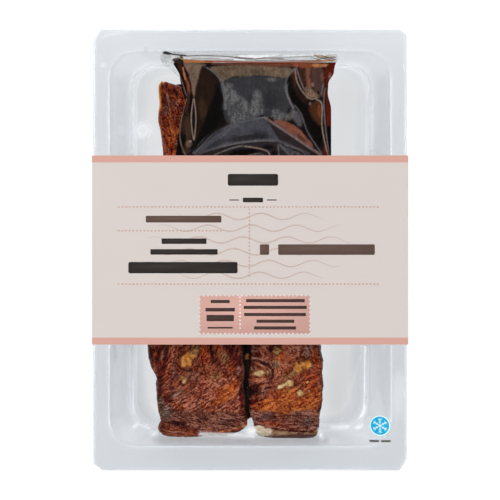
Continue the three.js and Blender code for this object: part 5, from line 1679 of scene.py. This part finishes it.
markPlan = {
    "x": 62, "y": -83.8, "radius": 4.8, "ring": 4.3, "arm": 3.6, "armWidth": 0.34, "layer": 0.05,
    "segments": 96, "pitch": 0.3, "lifts": {"disc": 0, "ring": 0.1, "crystal": 0.16, "bars": 0.02},
    # glow and discGlow are painted light: the inks emit a little, so the mark looks evenly bright
    "blue": (0.0, 0.34, 0.6), "white": (0.6, 0.9, 0.97), "glow": 0.16,
    "discInset": 0.05, "discGlow": 0.1,
    # (how far out on its arm, how long as a share of it) of each pair of branches
    "branches": ((0.38, 0.24), (0.68, 0.34)), "spread": 48, "branchWidth": 0.8,
    # below the disc: (x, length) of each bar
    "bars": ((57, 4.4), (62.4, 4.6)), "barY": -91, "barWidth": 1.0, "barRound": 0.25,
    "barInk": (0.09, 0.1, 0.09),
}
filmTree = surfaceTree([filmPiece])


# Moves a flat shape to its place and lays it down on the film
def seat(bm, lift):
    for v in bm.verts:
        v.co.x += markPlan["x"]
        v.co.y += markPlan["y"]
        v.co.z += topOf(filmTree, v.co.x, v.co.y) + 2 * filmPlan["thickness"] + lift
    toMetres(bm)


# A disc, or a ring where inner isn't 0, in rows that are fine enough to lie on the film
def buildRound(plan, inner, outer, lift):
    bm = bmesh.new()
    rows = np.linspace(inner, outer, ceil((outer - inner) / plan["pitch"]) + 1)
    if inner == 0:
        rows = rows[1:]
    row = bmesh.ops.create_circle(bm, cap_ends=inner == 0, segments=plan["segments"],
                                  radius=rows[0])["verts"]
    for last, radius in zip(rows, rows[1:]):
        row = growTo(bm, row, [(v.co.x * radius / last, v.co.y * radius / last) for v in row], 0)
    bmesh.ops.recalc_face_normals(bm, faces=bm.faces)
    bmesh.ops.solidify(bm, geom=bm.faces[:], thickness=plan["layer"])
    seat(bm, lift)
    return meshOf(bm, "round")


def addBar(bm, plan, length, width, turn, start=(0, 0)):
    steps = ceil(length / plan["pitch"])
    made = bmesh.ops.create_grid(bm, x_segments=steps, y_segments=1, size=0.5)["verts"]
    matrix = Matrix.Translation((start[0], start[1], 0)) @ Matrix.Rotation(radians(turn), 4, "Z") @ \
        Matrix.Translation((length / 2, 0, 0)) @ Matrix.Diagonal((length, width, 1, 1))
    bmesh.ops.transform(bm, matrix=matrix, verts=made)


def buildCrystal(plan):
    bm = bmesh.new()
    for k in range(6):
        turn = 90 + 60 * k
        armX = plan["arm"] * cos(radians(turn))
        armY = plan["arm"] * sin(radians(turn))
        if k < 3:
            addBar(bm, plan, 2 * plan["arm"], plan["armWidth"], turn, (-armX, -armY))
        for share, length in plan["branches"]:
            for spread in (-plan["spread"], plan["spread"]):
                addBar(bm, plan, plan["arm"] * length, plan["armWidth"] * plan["branchWidth"],
                       turn + spread, (armX * share, armY * share))
    bmesh.ops.solidify(bm, geom=bm.faces[:], thickness=plan["layer"])
    seat(bm, plan["lifts"]["crystal"])
    return meshOf(bm, "crystal")


def buildMarkBars(plan):
    bm = bmesh.new()
    for x, length in plan["bars"]:
        addBar(bm, plan, length, plan["barWidth"], 0, (x - plan["x"], plan["barY"] - plan["y"]))
    corners = [v for v in bm.verts if len(v.link_edges) == 2]
    bmesh.ops.bevel(bm, geom=corners, offset=plan["barRound"], segments=3, affect="VERTICES",
                    profile=0.5, material=-1)
    bmesh.ops.solidify(bm, geom=bm.faces[:], thickness=plan["layer"])
    seat(bm, plan["lifts"]["bars"])
    return meshOf(bm, "bars")


blueInk = inkMaterial("blueInk", markPlan["blue"], markPlan["discGlow"])
whiteInk = inkMaterial("markWhite", markPlan["white"], markPlan["glow"])
lifts = markPlan["lifts"]
discRadius = markPlan["radius"] - markPlan["discInset"]
addPiece("mark_disc", buildRound(markPlan, 0, discRadius, lifts["disc"]), blueInk, ["freeze_mark"])
ring = buildRound(markPlan, markPlan["ring"], markPlan["radius"], lifts["ring"])
addPiece("mark_ring", ring, whiteInk)
addPiece("mark_crystal", buildCrystal(markPlan), whiteInk)
addPiece("mark_bars", buildMarkBars(markPlan), inkMaterial("greyInk", markPlan["barInk"]))
print("mark stuck on")


# Stage: a white table, a sky that is bright low down, and a soft lamp at each side

# Lengths are in metres, but the camera's width of view and its sensor are in millimetres
stagePlan = {
    "floor": 3.0, "floorDrop": 0.0002, "floorColour": (0.35, 0.35, 0.35), "floorGlow": 0.75,
    "sky": [(0.5, 0.6), (0.72, 0.5), (0.86, 0.1), (1.0, 0.02)],
    "camera": 3.0, "across": 238.1, "sensor": 36,
    "lights": [
        {"name": "left", "at": (-1.0, 0.25, 0.85), "size": 0.7, "power": 10.5},
        {"name": "right", "at": (1.05, 0.1, 0.8), "size": 0.6, "power": 7},
        {"name": "front", "at": (0.1, -1.1, 0.8), "size": 0.6, "power": 5},
        {"name": "back", "at": (-0.1, 1.15, 0.8), "size": 0.6, "power": 5.5},
    ],
}


def tableMaterial(plan):
    material, tree = newMaterial("whiteTable")
    place = placeOf(tree)
    paper = grain(tree, place, 1.2, 3)
    board = put(tree, "ShaderNodeBsdfPrincipled", {
        "Base Color": colour(*plan["floorColour"]), "Roughness": 0.8, "Specular IOR Level": 0.1,
        "Emission Color": colour(1, 1, 1), "Emission Strength": plan["floorGlow"],
        "Normal": bumps(tree, paper, 0.02, 0.2)})
    finish(tree, board.outputs[0])
    return material


def layTable(plan):
    bm = bmesh.new()
    bmesh.ops.create_grid(bm, x_segments=4, y_segments=4, size=plan["floor"])
    for v in bm.verts:
        v.co.z = -plan["floorDrop"]
    table = bpy.data.objects.new("table", meshOf(bm, "table"))
    bpy.context.scene.collection.objects.link(table)
    table.data.materials.append(tableMaterial(plan))


def lightSky(plan):
    world = bpy.data.worlds.new("studio")
    world.use_nodes = True
    tree = world.node_tree
    way = put(tree, "ShaderNodeTexCoord").outputs["Generated"]
    height = put(tree, "ShaderNodeSeparateXYZ", {0: way})
    level = sums(tree, "MULTIPLY_ADD", height.outputs[2], 0.5, 0.5)
    glow = gradient(tree, level, [(place, (share, share, share)) for place, share in plan["sky"]])
    tree.links.new(glow, tree.nodes["Background"].inputs["Color"])
    bpy.context.scene.world = world


def hangLamps(plan):
    for light in plan["lights"]:
        lamp = bpy.data.lights.new(light["name"], "AREA")
        lamp.shape = "SQUARE"
        lamp.size = light["size"]
        lamp.energy = light["power"]
        holder = bpy.data.objects.new(light["name"], lamp)
        holder.location = light["at"]
        holder.rotation_euler = (-Vector(light["at"])).to_track_quat("-Z", "Y").to_euler()
        bpy.context.scene.collection.objects.link(holder)


def placeCamera(plan):
    flange = trayPlan["flangeTop"] * mm
    eye = bpy.data.cameras.new("eye")
    eye.sensor_width = plan["sensor"]
    eye.lens = plan["sensor"] * plan["camera"] / (plan["across"] * mm)
    holder = bpy.data.objects.new("eye", eye)
    holder.location = (0, 0, flange + plan["camera"])
    bpy.context.scene.collection.objects.link(holder)
    bpy.context.scene.camera = holder
    bpy.context.scene.view_settings.view_transform = "Standard"


layTable(stagePlan)
lightSky(stagePlan)
hangLamps(stagePlan)
placeCamera(stagePlan)
print("stage lit")
